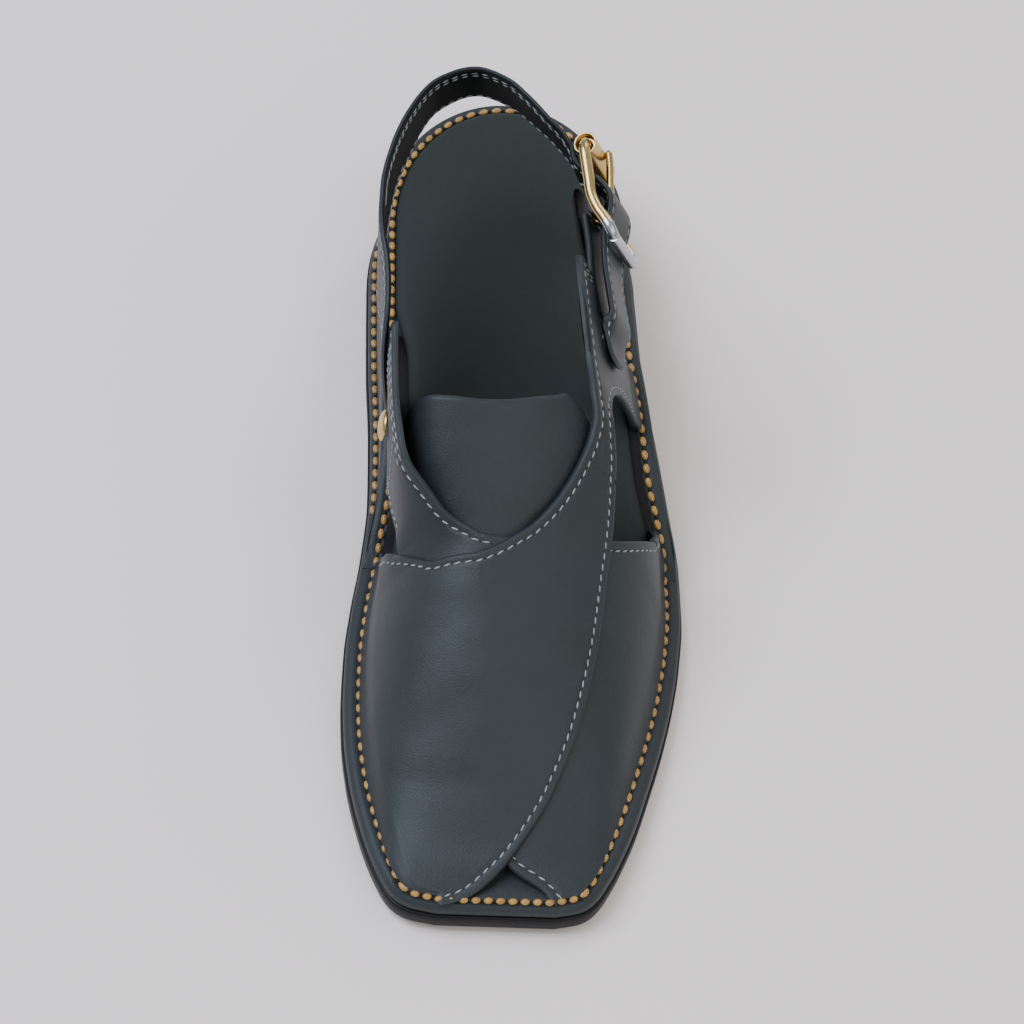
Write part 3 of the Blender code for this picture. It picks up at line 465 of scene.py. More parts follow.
def inset_point(share, side, inset):
    """The sole edge moved inward, square to itself."""
    share, side = np.broadcast_arrays(np.asarray(share, float), side)
    small = 0.002
    low = np.maximum(share - small, 0.0)
    high = np.minimum(share + small, 1.0 - 1e-6)
    tangent = edge_point(high, side) - edge_point(low, side)
    blunt = np.stack([side * 1.0, np.full(share.shape, 0.25)], axis=-1)
    tangent = unit(np.where((share < small)[..., None], blunt, tangent))
    forward = np.where(share < HEEL_ROUND, 1.0, -1.0) * np.abs(tangent[..., 0])
    inward = np.stack([-side * np.abs(tangent[..., 1]), forward], axis=-1)
    middle = (share > 0.3) & (share < HEEL_ROUND)
    square = np.stack([-side * 1.0, np.zeros(share.shape)], axis=-1)
    inward = np.where(middle[..., None], square, inward)
    return edge_point(share, side) + inward * np.asarray(inset)[..., None]


def sole_bottom(share):
    """Height of the underside: it springs up at the toe and under the arch."""
    return TOE_SPRING * SOLE_BOTTOM["spring"](share) + ARCH_LIFT * SOLE_BOTTOM["arch"](share)


def welt_top(share):
    """Height of the welt's top, which follows the toe spring."""
    return OUTSOLE_THICKNESS + WELT_THICKNESS + SEAM_GAP + TOE_SPRING * SOLE_BOTTOM["spring"](share)


def sole_top(share):
    """Top of the sole: the welt in front, the wedge behind."""
    share = np.asarray(share, float)
    base = welt_top(share)
    raised = base + SEAM_GAP + (HEEL_HEIGHT - base) * SOLE_TOP["rise"](share)
    return np.where(share < WEDGE_START, base, raised)


def wedge_foot(share):
    """Underside of the wedge as it is seen: its front end lies down into the welt."""
    return welt_top(share) + SEAM_GAP - WEDGE_SINK * (1 - ease(share, 0.404, 0.430))


def rim_rise(share):
    """The heel seat's rim stands up round the footbed, so that the welt thread lies level with it."""
    return RIM_RISE * ease(share, 0.60, 0.70)


def wedge_top(share):
    """Top of the sole as it is seen: the wedge grows out of the welt without a step."""
    raised = sole_top(share) - welt_top(share)
    return welt_top(share) + raised * ease(share, 0.398, 0.440)


def seat_top(share):
    """Height of the leather under the welt thread, all round."""
    return wedge_top(share) + rim_rise(share)


FEATHER_SHARES = np.array([0.0, 0.002, 0.005, 0.01, 0.02, 0.03, 0.045, 0.06, 0.08]
                          + [0.1 + 0.02 * k for k in range(30)])


def feather(side):
    """The line where the bands' feet go under the footbed's edge, from the toe to the heel."""
    rows = inset_point(FEATHER_SHARES, side, thread_inset(FEATHER_SHARES, side) + FEATHER_ROOM)
    return rows[np.argsort(rows[:, 1])]


FEATHER = {-1: feather(-1), 1: feather(1)}


def feather_x(y, side):
    """x of the line of the bands' feet at y."""
    return np.interp(y, FEATHER[side][:, 1], FEATHER[side][:, 0])


SKIRT_HEIGHT = 5 * MM
SKIRT_REACH = 1.8 * MM
SKIRT_DROP = 0.45 * MM


def skirt(surface):
    """How far a band's foot runs out towards the welt thread, as a soft fillet on its lowest few mm."""
    floor = sole_top(share_at(surface[..., 1])) + LAST_GAP
    flare = np.clip(1 - (surface[..., 2] - floor) / SKIRT_HEIGHT, 0.0, 1.0) ** 2.2
    # Straight outwards along the sides, and more and more forwards round the toe
    front = 1.3 * (1 - ease(share_at(surface[..., 1]), 0.02, 0.10))
    aside = np.tanh(surface[..., 0] / 0.006)
    reach = SKIRT_REACH * (1 + 0.35 * front) * flare / np.hypot(aside, front)
    return np.stack([aside * reach, -front * reach, -SKIRT_DROP * flare], axis=-1)


def last_surface(share, around, section=LAST):
    """The last that the leather is drawn over: around goes from the inner side over the top to the outer."""
    share, around = np.broadcast_arrays(np.asarray(share, float), np.asarray(around, float))
    y = along(share)
    inner = around <= 0.5
    foot_x = np.where(inner, feather_x(y, -1), feather_x(y, 1))
    floor = sole_top(share) + LAST_GAP
    height = INSTEP_HEIGHT * np.where(inner, section["medial_top"](share), section["lateral_top"](share))
    height = np.maximum(height + welt_top(0.3) - floor, SEAM_GAP)
    power = np.where(inner, section["medial_power"](share), section["lateral_power"](share))
    ridge = BALL_WIDTH * section["ridge"](share)
    turn = math.pi * np.clip(np.minimum(around, 1.0 - around), 0.0, 0.5)
    cosine = np.maximum(np.cos(turn), 0.0)
    size = (cosine ** power + np.sin(turn) ** power) ** (1 / power)
    rise = np.sin(turn) / size
    swell = BALL_WIDTH * section["swell"](share) * inner
    swell = swell * (1.0 - np.maximum(0.0, 1.0 - rise / 0.75) ** 1.6)
    x = ridge + (foot_x - ridge - swell) * cosine / size
    return np.stack([x, y, floor + height * rise], axis=-1)


def last_normal(share, around, section=LAST):
    """Directions square to the last and out of it, level or upwards near the foot line."""
    step_s = 0.002
    step_a = 0.004
    share, around = np.broadcast_arrays(np.asarray(share, float), np.asarray(around, float))
    share = np.clip(share, section["share"].x[0] + step_s, section["share"].x[-1] - step_s)
    around = np.clip(around, step_a, 1.0 - step_a)
    around = np.where(np.abs(around - 0.5) < step_a, 0.5 - step_a, around)
    a = last_surface(share + step_s, around, section) - last_surface(share - step_s, around, section)
    b = last_surface(share, around + step_a, section) - last_surface(share, around - step_a, section)
    normal = unit(np.cross(b, a))
    here = last_surface(share, around, section)
    heart = np.stack([np.zeros(share.shape), along(share), sole_top(share)], axis=-1)
    normal = np.where(((normal * (here - heart)).sum(-1) < 0)[..., None], -normal, normal)
    fade = np.clip((here[..., 2] - sole_top(share) - SEAM_GAP - 0.001) / 0.006, 0.0, 1.0)
    normal[..., 2] = np.where(normal[..., 2] < 0, normal[..., 2] * fade, normal[..., 2])
    return normal


def last_point(share, around, lift):
    """A point of the last, lifted square to it."""
    return last_surface(share, around) + last_normal(share, around) * np.asarray(lift)[..., None]


def on_wall(y, z, lift, side):
    """The points at y and z on one side of the last, lifted square to it."""
    y, z, lift = np.broadcast_arrays(np.asarray(y, float), z, lift)
    low = np.full(y.shape, 0.0 if side < 0 else 1.0)
    high = np.full(y.shape, 0.47 if side < 0 else 0.53)
    for _ in range(14):
        middle = (low + high) / 2
        below = last_point(share_at(y), middle, lift)[..., 2] < z
        low = np.where(below, middle, low)
        high = np.where(below, high, middle)
    return np.stack([last_point(share_at(y), (low + high) / 2, lift)[..., 0], y, z], axis=-1)


def ease(value, start, end):
    """0 up to the start, 1 from the end on, and smooth between."""
    t = np.clip((np.asarray(value, float) - start) / (end - start), 0.0, 1.0)
    return t * t * (3 - 2 * t)


def linear(hex_colour):
    """sRGB hex to linear light, as the shaders take it."""
    parts = [int(hex_colour[k:k + 2], 16) / 255 for k in (1, 3, 5)]
    return tuple(c / 12.92 if c <= 0.04045 else ((c + 0.055) / 1.055) ** 2.4 for c in parts)


def colour_property(name, text, hex_colour):
    return FloatVectorProperty(name=name, description=text, default=linear(hex_colour), size=3, min=0.0,
                               max=1.0, subtype="COLOR")


def length_property(name, text, metres):
    return FloatProperty(name=name, description=text, default=metres, min=0.0, soft_max=0.05, unit="LENGTH",
                         precision=5)


class ChappalColours(PropertyGroup):
    slate: colour_property("Slate leather", "Calf leather of the bands, strap and welt", "#22292b")
    footbed: colour_property("Footbed leather", "Leather that the foot stands on", "#232927")
    lining: colour_property("Lining leather", "Black leather inside the bands and strap", "#070808")
    rubber: colour_property("Sole rubber", "Moulded rubber of the outsole", "#050607")
    gold_thread: colour_property("Gold thread", "Waxed twisted thread of the welt seam", "#a27a36")
    grey_thread: colour_property("Grey thread", "Thread of the edge seams", "#8d9596")
    brass: colour_property("Brass", "Polished brass of the buckle and the stud", "#cdb074")
    # Pale silver colour of the buckle's front bar, set apart from the brass of the rest of the frame
    steel: colour_property("Bare steel", "Nickelled front bar of the buckle", "#b9bcc0")
    floor: colour_property("Floor", "Plain pale floor", "#f2e8e2")


class ChappalSizes(PropertyGroup):
    bead_length: length_property("Gold bead length", "Length of one welt stitch as it shows", 0.0032)
    bead_width: length_property("Gold bead width", "Width of one welt stitch", 0.0020)
    toe_pitch: length_property("Toe pitch", "Distance from one welt stitch to the next at the toe", 0.0033)
    side_pitch: length_property("Side pitch", "The same along the sides and round the heel seat", 0.0043)
    heel_pitch: length_property("Heel pitch", "The same in the lower row, below the heel wedge", 0.0046)
    stitch_length: length_property("Grey stitch length", "Length of one lock stitch as it shows", 0.0021)
    stitch_width: length_property("Grey stitch width", "Thickness of the grey thread", 0.00052)
    stitch_pitch: length_property("Grey stitch pitch", "Distance from one lock stitch to the next", 0.0031)
    roll: length_property("Edge roll", "Radius of the bands' rounded edges", 0.0009)


def colours():
    return bpy.context.scene.chappal_colours


def sizes():
    return bpy.context.scene.chappal_sizes


def node(tree, kind, inputs=None, links=None, **settings):
    """Add a node: settings are its attributes, inputs its values, links the sockets or nodes that feed it."""
    made = tree.nodes.new(kind)
    for key, value in settings.items():
        setattr(made, key, value)
    for key, value in (inputs or {}).items():
        made.inputs[key].default_value = value
    for key, source in (links or {}).items():
        tree.links.new(getattr(source, "outputs", [source])[0], made.inputs[key])
    return made


def finish_of(name, colour, roughness, **shader):
    """A material with one Principled shader, and its tree and place coordinates for the patterns."""
    made = bpy.data.materials.new(name)
    made.use_nodes = True
    tree = made.node_tree
    skin = tree.nodes["Principled BSDF"]
    skin.inputs["Base Color"].default_value = (*colour, 1.0)
    skin.inputs["Roughness"].default_value = roughness
    for key, value in shader.items():
        skin.inputs[key.replace("_", " ")].default_value = value
    place = node(tree, "ShaderNodeTexCoord").outputs["Object"]
    return made, tree, skin, place


def tint(tree, skin, colour, factor, darker, lighter):
    """Colour that wanders between a darker and a lighter shade of itself."""
    dark = (*[c * darker for c in colour], 1.0)
    light = (*[min(c * lighter, 1.0) for c in colour], 1.0)
    mix = node(tree, "ShaderNodeMix", {6: dark, 7: light}, {0: factor}, data_type="RGBA")
    tree.links.new(mix.outputs[2], skin.inputs["Base Color"])


def calf_leather(name, colour, roughness, gloss=0.34, grain=1.0, mottle=1.0):
    """Aniline calf, drum dyed and lightly waxed: fine pores, faint clouding, a soft broad sheen."""
    made, tree, skin, place = finish_of(name, colour, roughness, Coat_Weight=0.05, Coat_Roughness=0.4,
                                        Specular_IOR_Level=gloss)
    # Scales are cells in a metre: clouds of 26 mm, specks of 1.6 mm, and soft waves of 13 mm in the hide
    cloud = node(tree, "ShaderNodeTexNoise", {"Scale": 38.0, "Detail": 5.0, "Roughness": 0.62},
                 {"Vector": place})
    speck = node(tree, "ShaderNodeTexNoise", {"Scale": 620.0, "Detail": 3.0, "Roughness": 0.6},
                 {"Vector": place})
    both = node(tree, "ShaderNodeMath", {1: 0.35}, {0: speck.outputs["Fac"], 2: cloud.outputs["Fac"]},
                operation="MULTIPLY_ADD")
    spread = node(tree, "ShaderNodeMapRange", {"From Min": 0.35, "From Max": 1.0}, {"Value": both.outputs[0]})
    tint(tree, skin, colour, spread.outputs[0], 1.0 - 0.22 * mottle, 1.0 + 0.26 * mottle)
    rough = node(tree, "ShaderNodeMapRange",
                 {"From Min": 0.3, "From Max": 0.7, "To Min": roughness - 0.05, "To Max": roughness + 0.07},
                 {"Value": cloud.outputs["Fac"]})
    tree.links.new(rough.outputs[0], skin.inputs["Roughness"])
    # Pores of calf are near 0.3 mm, too fine for the picture, so the cells are drawn near 0.8 mm
    pores = node(tree, "ShaderNodeTexVoronoi", {"Scale": 1250.0, "Randomness": 1.0}, {"Vector": place},
                 feature="DISTANCE_TO_EDGE")
    crease = node(tree, "ShaderNodeMapRange", {"From Max": 0.18}, {"Value": pores.outputs["Distance"]})
    relief = node(tree, "ShaderNodeMath", {1: 0.6}, {0: speck.outputs["Fac"], 2: crease.outputs[0]},
                  operation="MULTIPLY_ADD")
    fine = node(tree, "ShaderNodeBump", {"Strength": 0.16 * grain, "Distance": 0.0004},
                {"Height": relief.outputs[0]})
    wave = node(tree, "ShaderNodeTexNoise", {"Scale": 75.0, "Detail": 2.0}, {"Vector": place})
    soft = node(tree, "ShaderNodeBump", {"Strength": 0.22, "Distance": 0.0012},
                {"Height": wave.outputs["Fac"], "Normal": fine.outputs[0]})
    tree.links.new(soft.outputs[0], skin.inputs["Normal"])
    return made


def moulded_rubber(name, colour):
    """Moulded nitrile rubber: near black, with a dull even skin and fine dust."""
    made, tree, skin, place = finish_of(name, colour, 0.5, Specular_IOR_Level=0.25)
    # Specks of 1.1 mm
    dust = node(tree, "ShaderNodeTexNoise", {"Scale": 900.0, "Detail": 4.0}, {"Vector": place})
    tint(tree, skin, colour, dust.outputs["Fac"], 0.8, 1.5)
    bump = node(tree, "ShaderNodeBump", {"Strength": 0.25, "Distance": 0.0003},
                {"Height": dust.outputs["Fac"]})
    tree.links.new(bump.outputs[0], skin.inputs["Normal"])
    return made


def waxed_thread(name, colour, roughness, ply, shine):
    """Three-ply waxed linen or polyester: twisted strands, with painted highlight on their crowns and painted
    shade in their grooves.
    """
    made, tree, skin, place = finish_of(name, colour, roughness, Coat_Weight=shine, Coat_Roughness=0.25)
    twist = node(tree, "ShaderNodeUVMap", uv_map="twist")
    wave = node(tree, "ShaderNodeTexWave", {"Scale": ply, "Distortion": 0.6, "Detail": 1.0},
                {"Vector": twist.outputs["UV"]}, bands_direction="DIAGONAL")
    # Wax lies uneven over 2.4 mm, about one stitch
    uneven = node(tree, "ShaderNodeTexNoise", {"Scale": 420.0, "Detail": 2.0}, {"Vector": place})
    both = node(tree, "ShaderNodeMath", {1: 0.55}, {0: wave.outputs["Fac"], 2: uneven.outputs["Fac"]},
                operation="MULTIPLY_ADD")
    spread = node(tree, "ShaderNodeMapRange", {"From Min": 0.25, "From Max": 1.15},
                  {"Value": both.outputs[0]})
    # The colour follows the twist from 0.42 to 1.45 times the thread's own: painted shade in the grooves
    # between strands and painted highlight on their crowns, with the wax's uneven tone mixed in
    tint(tree, skin, colour, spread.outputs[0], 0.42, 1.45)
    bump = node(tree, "ShaderNodeBump", {"Strength": 0.5, "Distance": 0.0002},
                {"Height": wave.outputs["Fac"]})
    tree.links.new(bump.outputs[0], skin.inputs["Normal"])
    return made


def polished_metal(name, colour, roughness):
    """Cast and tumbled metal, plated and buffed: bright, with faint swirls in its colour, roughness and
    relief.
    """
    made, tree, skin, place = finish_of(name, colour, roughness, Metallic=1.0)
    # Swirls of 3.3 mm
    swirl = node(tree, "ShaderNodeTexNoise", {"Scale": 300.0, "Detail": 5.0, "Distortion": 0.8},
                 {"Vector": place})
    tint(tree, skin, colour, swirl.outputs["Fac"], 0.78, 1.14)
    rough = node(tree, "ShaderNodeMapRange", {"To Min": roughness - 0.06, "To Max": roughness + 0.14},
                 {"Value": swirl.outputs["Fac"]})
    tree.links.new(rough.outputs[0], skin.inputs["Roughness"])
    bump = node(tree, "ShaderNodeBump", {"Strength": 0.04, "Distance": 0.0001},
                {"Height": swirl.outputs["Fac"]})
    tree.links.new(bump.outputs[0], skin.inputs["Normal"])
    return made


def finishes():
    """All materials, made once and found again by their names."""
    c = colours()
    if "slate_calf_leather" not in bpy.data.materials:
        calf_leather("slate_calf_leather", tuple(c.slate), 0.50)
        calf_leather("footbed_calf_leather", tuple(c.footbed), 0.66, 0.20, grain=0.8, mottle=0.8)
        calf_leather("black_lining_leather", tuple(c.lining), 0.60, 0.22)
        moulded_rubber("black_moulded_rubber", tuple(c.rubber))
        waxed_thread("gold_waxed_thread", tuple(c.gold_thread), 0.36, 3.0, 0.45)
        waxed_thread("grey_bonded_thread", tuple(c.grey_thread), 0.55, 2.0, 0.05)
        polished_metal("polished_brass", tuple(c.brass), 0.20)
        polished_metal("nickelled_steel", tuple(c.steel), 0.22)
        # Near-black for the needle holes: painted shade of each hole's recess
        finish_of("dark_needle_hole", (0.004, 0.004, 0.005), 0.9)
    return bpy.data.materials


def grid_faces(rows, columns):
    """Faces of a sheet of points in rows and columns."""
    a = (np.arange(rows - 1)[:, None] * columns + np.arange(columns - 1)[None, :]).ravel()
    return np.stack([a, a + 1, a + columns + 1, a + columns], axis=1)


def ring_faces(count, sides, closed):
    """Faces between rings of points that follow each other, and back to the first where closed."""
    rows = np.arange(count if closed else count - 1)[:, None]
    k = np.arange(sides)[None, :]
    beside = (k + 1) % sides
    after = (rows + 1) % count * sides
    faces = np.stack([rows * sides + k, rows * sides + beside, after + beside, after + k], axis=-1)
    return [list(f) for f in faces.reshape(-1, 4)]


def in_scene(name, data):
    """An object of these data, linked to the scene."""
    obj = bpy.data.objects.new(name, data)
    bpy.context.scene.collection.objects.link(obj)
    return obj


def add_piece(name, verts, faces, materials, slots=None, sharp=40.0):
    """A mesh object at the origin, its place in its mesh, its faces turned outwards."""
    mesh = bpy.data.meshes.new(name)
    mesh.from_pydata(np.asarray(verts).tolist(), [], [list(map(int, f)) for f in faces])
    for made in materials:
        mesh.materials.append(bpy.data.materials[made])
    if slots is not None:
        mesh.polygons.foreach_set("material_index", slots)
    mesh.shade_smooth()
    mesh.set_sharp_from_angle(angle=math.radians(sharp))
    if signed_volume(mesh) < 0:
        mesh.flip_normals()
    return in_scene(name, mesh)


def signed_volume(mesh):
    """Volume inside a closed mesh, negative where its faces point inwards."""
    mesh.calc_loop_triangles()
    points = np.empty(len(mesh.vertices) * 3)
    mesh.vertices.foreach_get("co", points)
    corners = np.empty(len(mesh.loop_triangles) * 3, int)
    mesh.loop_triangles.foreach_get("vertices", corners)
    a, b, c = points.reshape(-1, 3)[corners.reshape(-1, 3)].transpose(1, 0, 2)
    return float((a * np.cross(b, c)).sum() / 6)


def closed_wall(name, inner, outer, materials):
    """A closed wall between an inner and an outer sheet. The inner sheet takes the second material."""
    rows, columns = inner.shape[:2]
    count = rows * columns
    verts = np.concatenate([inner.reshape(-1, 3), outer.reshape(-1, 3)])
    sheet = grid_faces(rows, columns)
    border = list(range(columns)) + [i * columns + columns - 1 for i in range(1, rows)]
    border += [(rows - 1) * columns + j for j in range(columns - 2, -1, -1)]
    border += [i * columns for i in range(rows - 2, 0, -1)]
    border = np.array(border)
    after = np.roll(border, -1)
    rim = np.stack([border, after, after + count, border + count], axis=1)
    faces = np.concatenate([sheet, sheet[:, ::-1] + count, rim])
    slots = np.zeros(len(faces), np.int32)
    if len(materials) > 1:
        slots[:len(sheet)] = 1
    return add_piece(name, verts, faces, materials, slots, sharp=55.0)


def to_line(points, line):
    """Distance of every point to a line of straight runs."""
    start = line[:-1]
    run = line[1:] - start
    length = np.maximum((run * run).sum(-1), 1e-14)
    best = np.full(points.shape[:-1], 1e9)
    for a, d, square in zip(start, run, length):
        t = np.clip(((points - a) * d).sum(-1) / square, 0.0, 1.0)
        best = np.minimum(best, np.linalg.norm(points - a - d * t[..., None], axis=-1))
    return best


def band_columns(length, middle):
    """Shares across a band for each row: close together at both edges, wider apart between them."""
    scale = np.minimum(1.0, length / (3.2 * EDGE_STEPS[-1]))
    near = EDGE_STEPS[None, :] * scale[:, None] / length[:, None]
    start = near[:, -1:]
    between = start + (1 - 2 * start) * (np.arange(1, middle) / middle)[None, :]
    return np.concatenate([near, between, 1 - near[:, ::-1]], axis=1)


def eased_toe(surface, share, times=160):
    """The sheet drawn smooth where it turns round the toe, its two feet kept in place."""
    near = (1 - ease(share, 0.05, 0.11))[1:-1, :, None]
    surface = surface.copy()
    for _ in range(times):
        middle = (surface[:-2] + surface[2:]) / 2
        surface[1:-1] += (middle - surface[1:-1]) * 0.5 * near
    return surface


def calmed(normal, times=24):
    """Directions averaged with their neighbours along the rows, so that a sheet lifts evenly over a turn."""
    for _ in range(times):
        wide = np.concatenate([normal[:1], normal, normal[-1:]])
        normal = unit(wide[:-2] + 2 * normal + wide[2:])
    return normal


def roll_off(distance, radius):
    """0 on the flat of a piece of leather, 1 at its very edge, round between."""
    x = 1 - np.clip(distance / radius, 0.0, 1.0)
    return 1 - np.sqrt(np.maximum(1 - x * x, 0.0))


def groove(seams, distances, run, depth, width):
    """How deep the seams pull the leather in, fading out past the ends of each."""
    sunk = 0.0
    for which, at, start, end in seams:
        inside = ease(run, start - 0.01, start + 0.004) * (1 - ease(run, end - 0.004, end + 0.01))
        sunk = sunk + depth * np.exp(-((distances[which] - at * MM) / width) ** 2) * inside[:, None]
    return sunk


def pressed(points):
    """Depth of the listed creases at each point: a soft trough with a low ridge on both sides."""
    depth = np.zeros(points.shape[:-1])
    for share, around, long_half, wide_half, deep, turn in CREASES:
        centre = last_surface(share, around)
        up = last_normal(share, around)
        across = unit(np.cross(up, (0.0, 1.0, 0.0)))
        forward = np.cross(across, up)
        angle = math.radians(turn)
        line = across * math.cos(angle) + forward * math.sin(angle)
        side = forward * math.cos(angle) - across * math.sin(angle)
        offset = points - centre
        u = (offset @ line) / (long_half * MM)
        v = (offset @ side) / (wide_half * MM) + 0.35 * np.sin(1.7 * u)
        near = np.exp(-u * u - v * v) * np.exp(-((offset @ up) / (10 * MM)) ** 2)
        depth += deep * MM * (1 - 1.6 * v * v) * near
    return depth


# Lines of the grey seams and the leather's own direction along them, kept while the pieces are made
GREY_SEAMS = []


def keep_seam(points, normal):
    """Keep a line for the grey stitches, with the directions out of the leather."""
    if len(points) > 1:
        GREY_SEAMS.append((points, normal))


def seam_along(outer, normal, distance, at, rows, from_start=True):
    """The line on a sheet at one distance from its edge, for the rows named."""
    points = []
    lifts = []
    for i in rows:
        d = distance[i] if from_start else distance[i][::-1]
        half = int(np.argmax(d)) + 1
        if d[:half].max() < at:
            continue
        j = int(np.searchsorted(d[:half], at))
        j = min(max(j, 1), half - 1)
        t = (at - d[j - 1]) / max(d[j] - d[j - 1], 1e-9)
        sheet = outer[i] if from_start else outer[i][::-1]
        up = normal[i] if from_start else normal[i][::-1]
        points.append(sheet[j - 1] + (sheet[j] - sheet[j - 1]) * t)
        lifts.append(up[j - 1] + (up[j] - up[j - 1]) * t)
    return np.array(points), np.array(lifts)


def span(rows, start, end):
    """The numbers of the rows between two shares of a run."""
    return range(int(round(start * rows)), int(round(end * rows)) + 1)


def band(name, front, rear, lift, wall, seams, rows=250, middle=44):
    """A leather band on the last between its front and rear edges, with rolled edges, creases and seams."""
    run = np.linspace(0, 1, rows + 1)
    s0, a0 = front["share"](run), front["around"](run)
    s1, a1 = rear["share"](run), rear["around"](run)
    rough = np.linspace(0, 1, 25)
    first = last_surface(s0[:, None] + (s1 - s0)[:, None] * rough, a0[:, None] + (a1 - a0)[:, None] * rough)
    length = np.linalg.norm(np.diff(first, axis=1), axis=-1).sum(1)
    t = band_columns(length, middle)
    share = s0[:, None] + (s1 - s0)[:, None] * t
    around = a0[:, None] + (a1 - a0)[:, None] * t
    normal = calmed(last_normal(share, around))
    surface = eased_toe(last_surface(share, around), share)
    # Both the lift and the wall thin out at the toe, where the bands go down to the welt
    toe = 0.22 + 0.78 * ease(share, 0.012, 0.050)
    raised = lift(around) * toe
    wall = wall * toe
    away = {"front": to_line(surface, surface[:, 0]), "rear": to_line(surface, surface[:, -1])}
    edge = np.minimum(away["front"], away["rear"])
    to_foot = np.minimum(to_line(surface, surface[0]), to_line(surface, surface[-1]))
    roll = roll_off(np.minimum(edge, to_foot + 0.01 * ease(share, 0.02, 0.05)), sizes().roll)
    sunk = pressed(surface) * ease(edge, 0.002, 0.008)
    sunk = sunk + groove(seams, away, run, SEAM_DEPTH, SEAM_WIDTH)
    outer = surface + normal * (raised + wall * (1 - 0.55 * roll) - sunk)[..., None] + skirt(surface)
    inner = surface + normal * (raised + wall * 0.12 * roll)[..., None]
    obj = closed_wall(name, inner, outer, ["slate_calf_leather", "black_lining_leather"])
    for which, at, start, end in seams:
        keep_seam(*seam_along(outer, normal, away[which], at * MM, span(rows, start, end), which == "front"))
    return obj


def sew_on_last(share, around, lift, count=50):
    """A grey seam on the last between two places, for a seam that follows no edge."""
    t = np.linspace(0, 1, count)
    share = share[0] + (share[1] - share[0]) * t
    around = around[0] + (around[1] - around[0]) * t
    keep_seam(last_point(share, around, np.full(count, lift)), last_normal(share, around))


def sew_on_wall(y, z, lift, side):
    """A grey seam on one side of the last through points at y and z."""
    points = on_wall(y, z, lift, side)
    up = points - on_wall(y, z + 0.0005, lift, side)
    fore = points - on_wall(y + 0.0005, z, lift, side)
    normal = unit(np.cross(up, fore))
    keep_seam(points, np.where((normal[:, :1] * side) < 0, -normal, normal))


def settle(obj, slot, *replaced):
    """Attach a piece to its body and hide the solids it stands for; the slot is not used."""
    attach(obj, BODY)
    if replaced:
        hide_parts(*replaced)


# Just short of the heel's last point, where both sides would meet
LAST_STATION = 0.9996


def stations(start):
    """Places along the sole: closer at the round of the toe and of the heel."""
    turn = np.linspace(0, math.pi, 150)
    share = 0.5 - 0.5 * np.cos(turn)
    share = np.concatenate([share, np.linspace(0.38, 0.56, 28), [0.0008, 0.0025, 0.0045, 0.9992]])
    share = np.unique(np.round(share, 5))
    share = share[(share > start) & (share < LAST_STATION)]
    return np.concatenate([[start], share, [LAST_STATION]])


def over_sole(shares, side, inset, height):
    """Points at an inset from the sole's edge and at a height, both given by functions."""
    flat = inset_point(shares, side, inset(shares, side))
    return np.concatenate([flat, height(share_at(flat[:, 1]))[:, None]], axis=1)


# The share of the sole's length over which a padded layer's crown runs down to its ends
CROWN_FADE = 0.07


def sole_layer(name, levels, start, materials, columns=8, crown=0.0):
    """A layer of the sole as far as the heel. Levels go up its edge, each with its inset and height."""
    shares = stations(start)
    rings = []
    for inset, height in levels:
        rings.append([over_sole(shares, side, inset, height) for side in (-1, 1)])
    between = np.arange(1, columns) / columns
    t = between[None, :, None]
    ends = np.clip(np.minimum(shares - shares[0], shares[-1] - shares) / CROWN_FADE, 0.0, 1.0)
    parts = []
    for level in (0, len(levels) - 1):
        a, b = rings[level][0][:, None, :], rings[level][1][:, None, :]
        flat = a + (b - a) * t
        if level:
            bulge = crown * np.sin(0.5 * math.pi * ends)[:, None] * (1 - (2 * t[..., 0] - 1) ** 4)
            flat = flat + np.stack([np.zeros_like(bulge), np.zeros_like(bulge), bulge], axis=-1)
        parts.append(flat)
    bottom, top = parts
    left = np.stack([ring[0] for ring in rings], axis=1)
    right = np.stack([ring[1] for ring in rings], axis=1)
    loop = np.concatenate([left, top, right[:, ::-1], bottom[:, ::-1]], axis=1)
    rows, around = loop.shape[:2]
    verts = loop.reshape(-1, 3)
    faces = ring_faces(rows, around, False)
    # Both ends are closed by a grid from the inner to the outer side
    high = len(levels)
    for base in (0, (rows - 1) * around):
        chain = []
        for k in range(high):
            near = base + k
            far = base + 2 * high + columns - 2 - k
            if k == high - 1:
                middle = [base + high + j for j in range(columns - 1)]
            elif k == 0:
                middle = [base + around - 1 - j for j in range(columns - 1)]
            else:
                middle = list(range(len(verts), len(verts) + columns - 1))
                verts = np.concatenate([verts, verts[near] + (verts[far] - verts[near]) * between[:, None]])
            chain.append([near] + middle + [far])
        for low, up in zip(chain[:-1], chain[1:]):
            faces += [[low[j], low[j + 1], up[j + 1], up[j]] for j in range(columns)]
    return add_piece(name, verts, faces, materials, sharp=50.0)


# How far the black goes past the bands' feet, and where along the sole it ends
DARK_MARGIN = 0.0006
DARK_END = 0.655


def darken_inside(piece):
    """Lining material on the top of a layer inside the bands' feet, which the footbed leaves bare."""
    centres = np.array([f.center for f in piece.data.polygons])
    upward = np.array([f.normal.z for f in piece.data.polygons]) > 0.5
    inner = centres[:, 0] > feather_x(centres[:, 1], -1) - DARK_MARGIN
    outer = centres[:, 0] < feather_x(centres[:, 1], 1) + DARK_MARGIN
    ahead = centres[:, 1] < along(DARK_END)
    piece.data.polygons.foreach_set("material_index", (upward & inner & outer & ahead).astype(np.int32))


def rim_inset(share, side):
    """Outer face of the heel wedge, just outside the gold thread."""
    return thread_inset(share, side) - RIM_MARGIN


def footbed_inset(share, side):
    """Edge of the footbed at its foot, inside the gold thread."""
    return thread_inset(share, side) + FEATHER_ROOM * (1 + FOOTBED["extra_inset"](share))


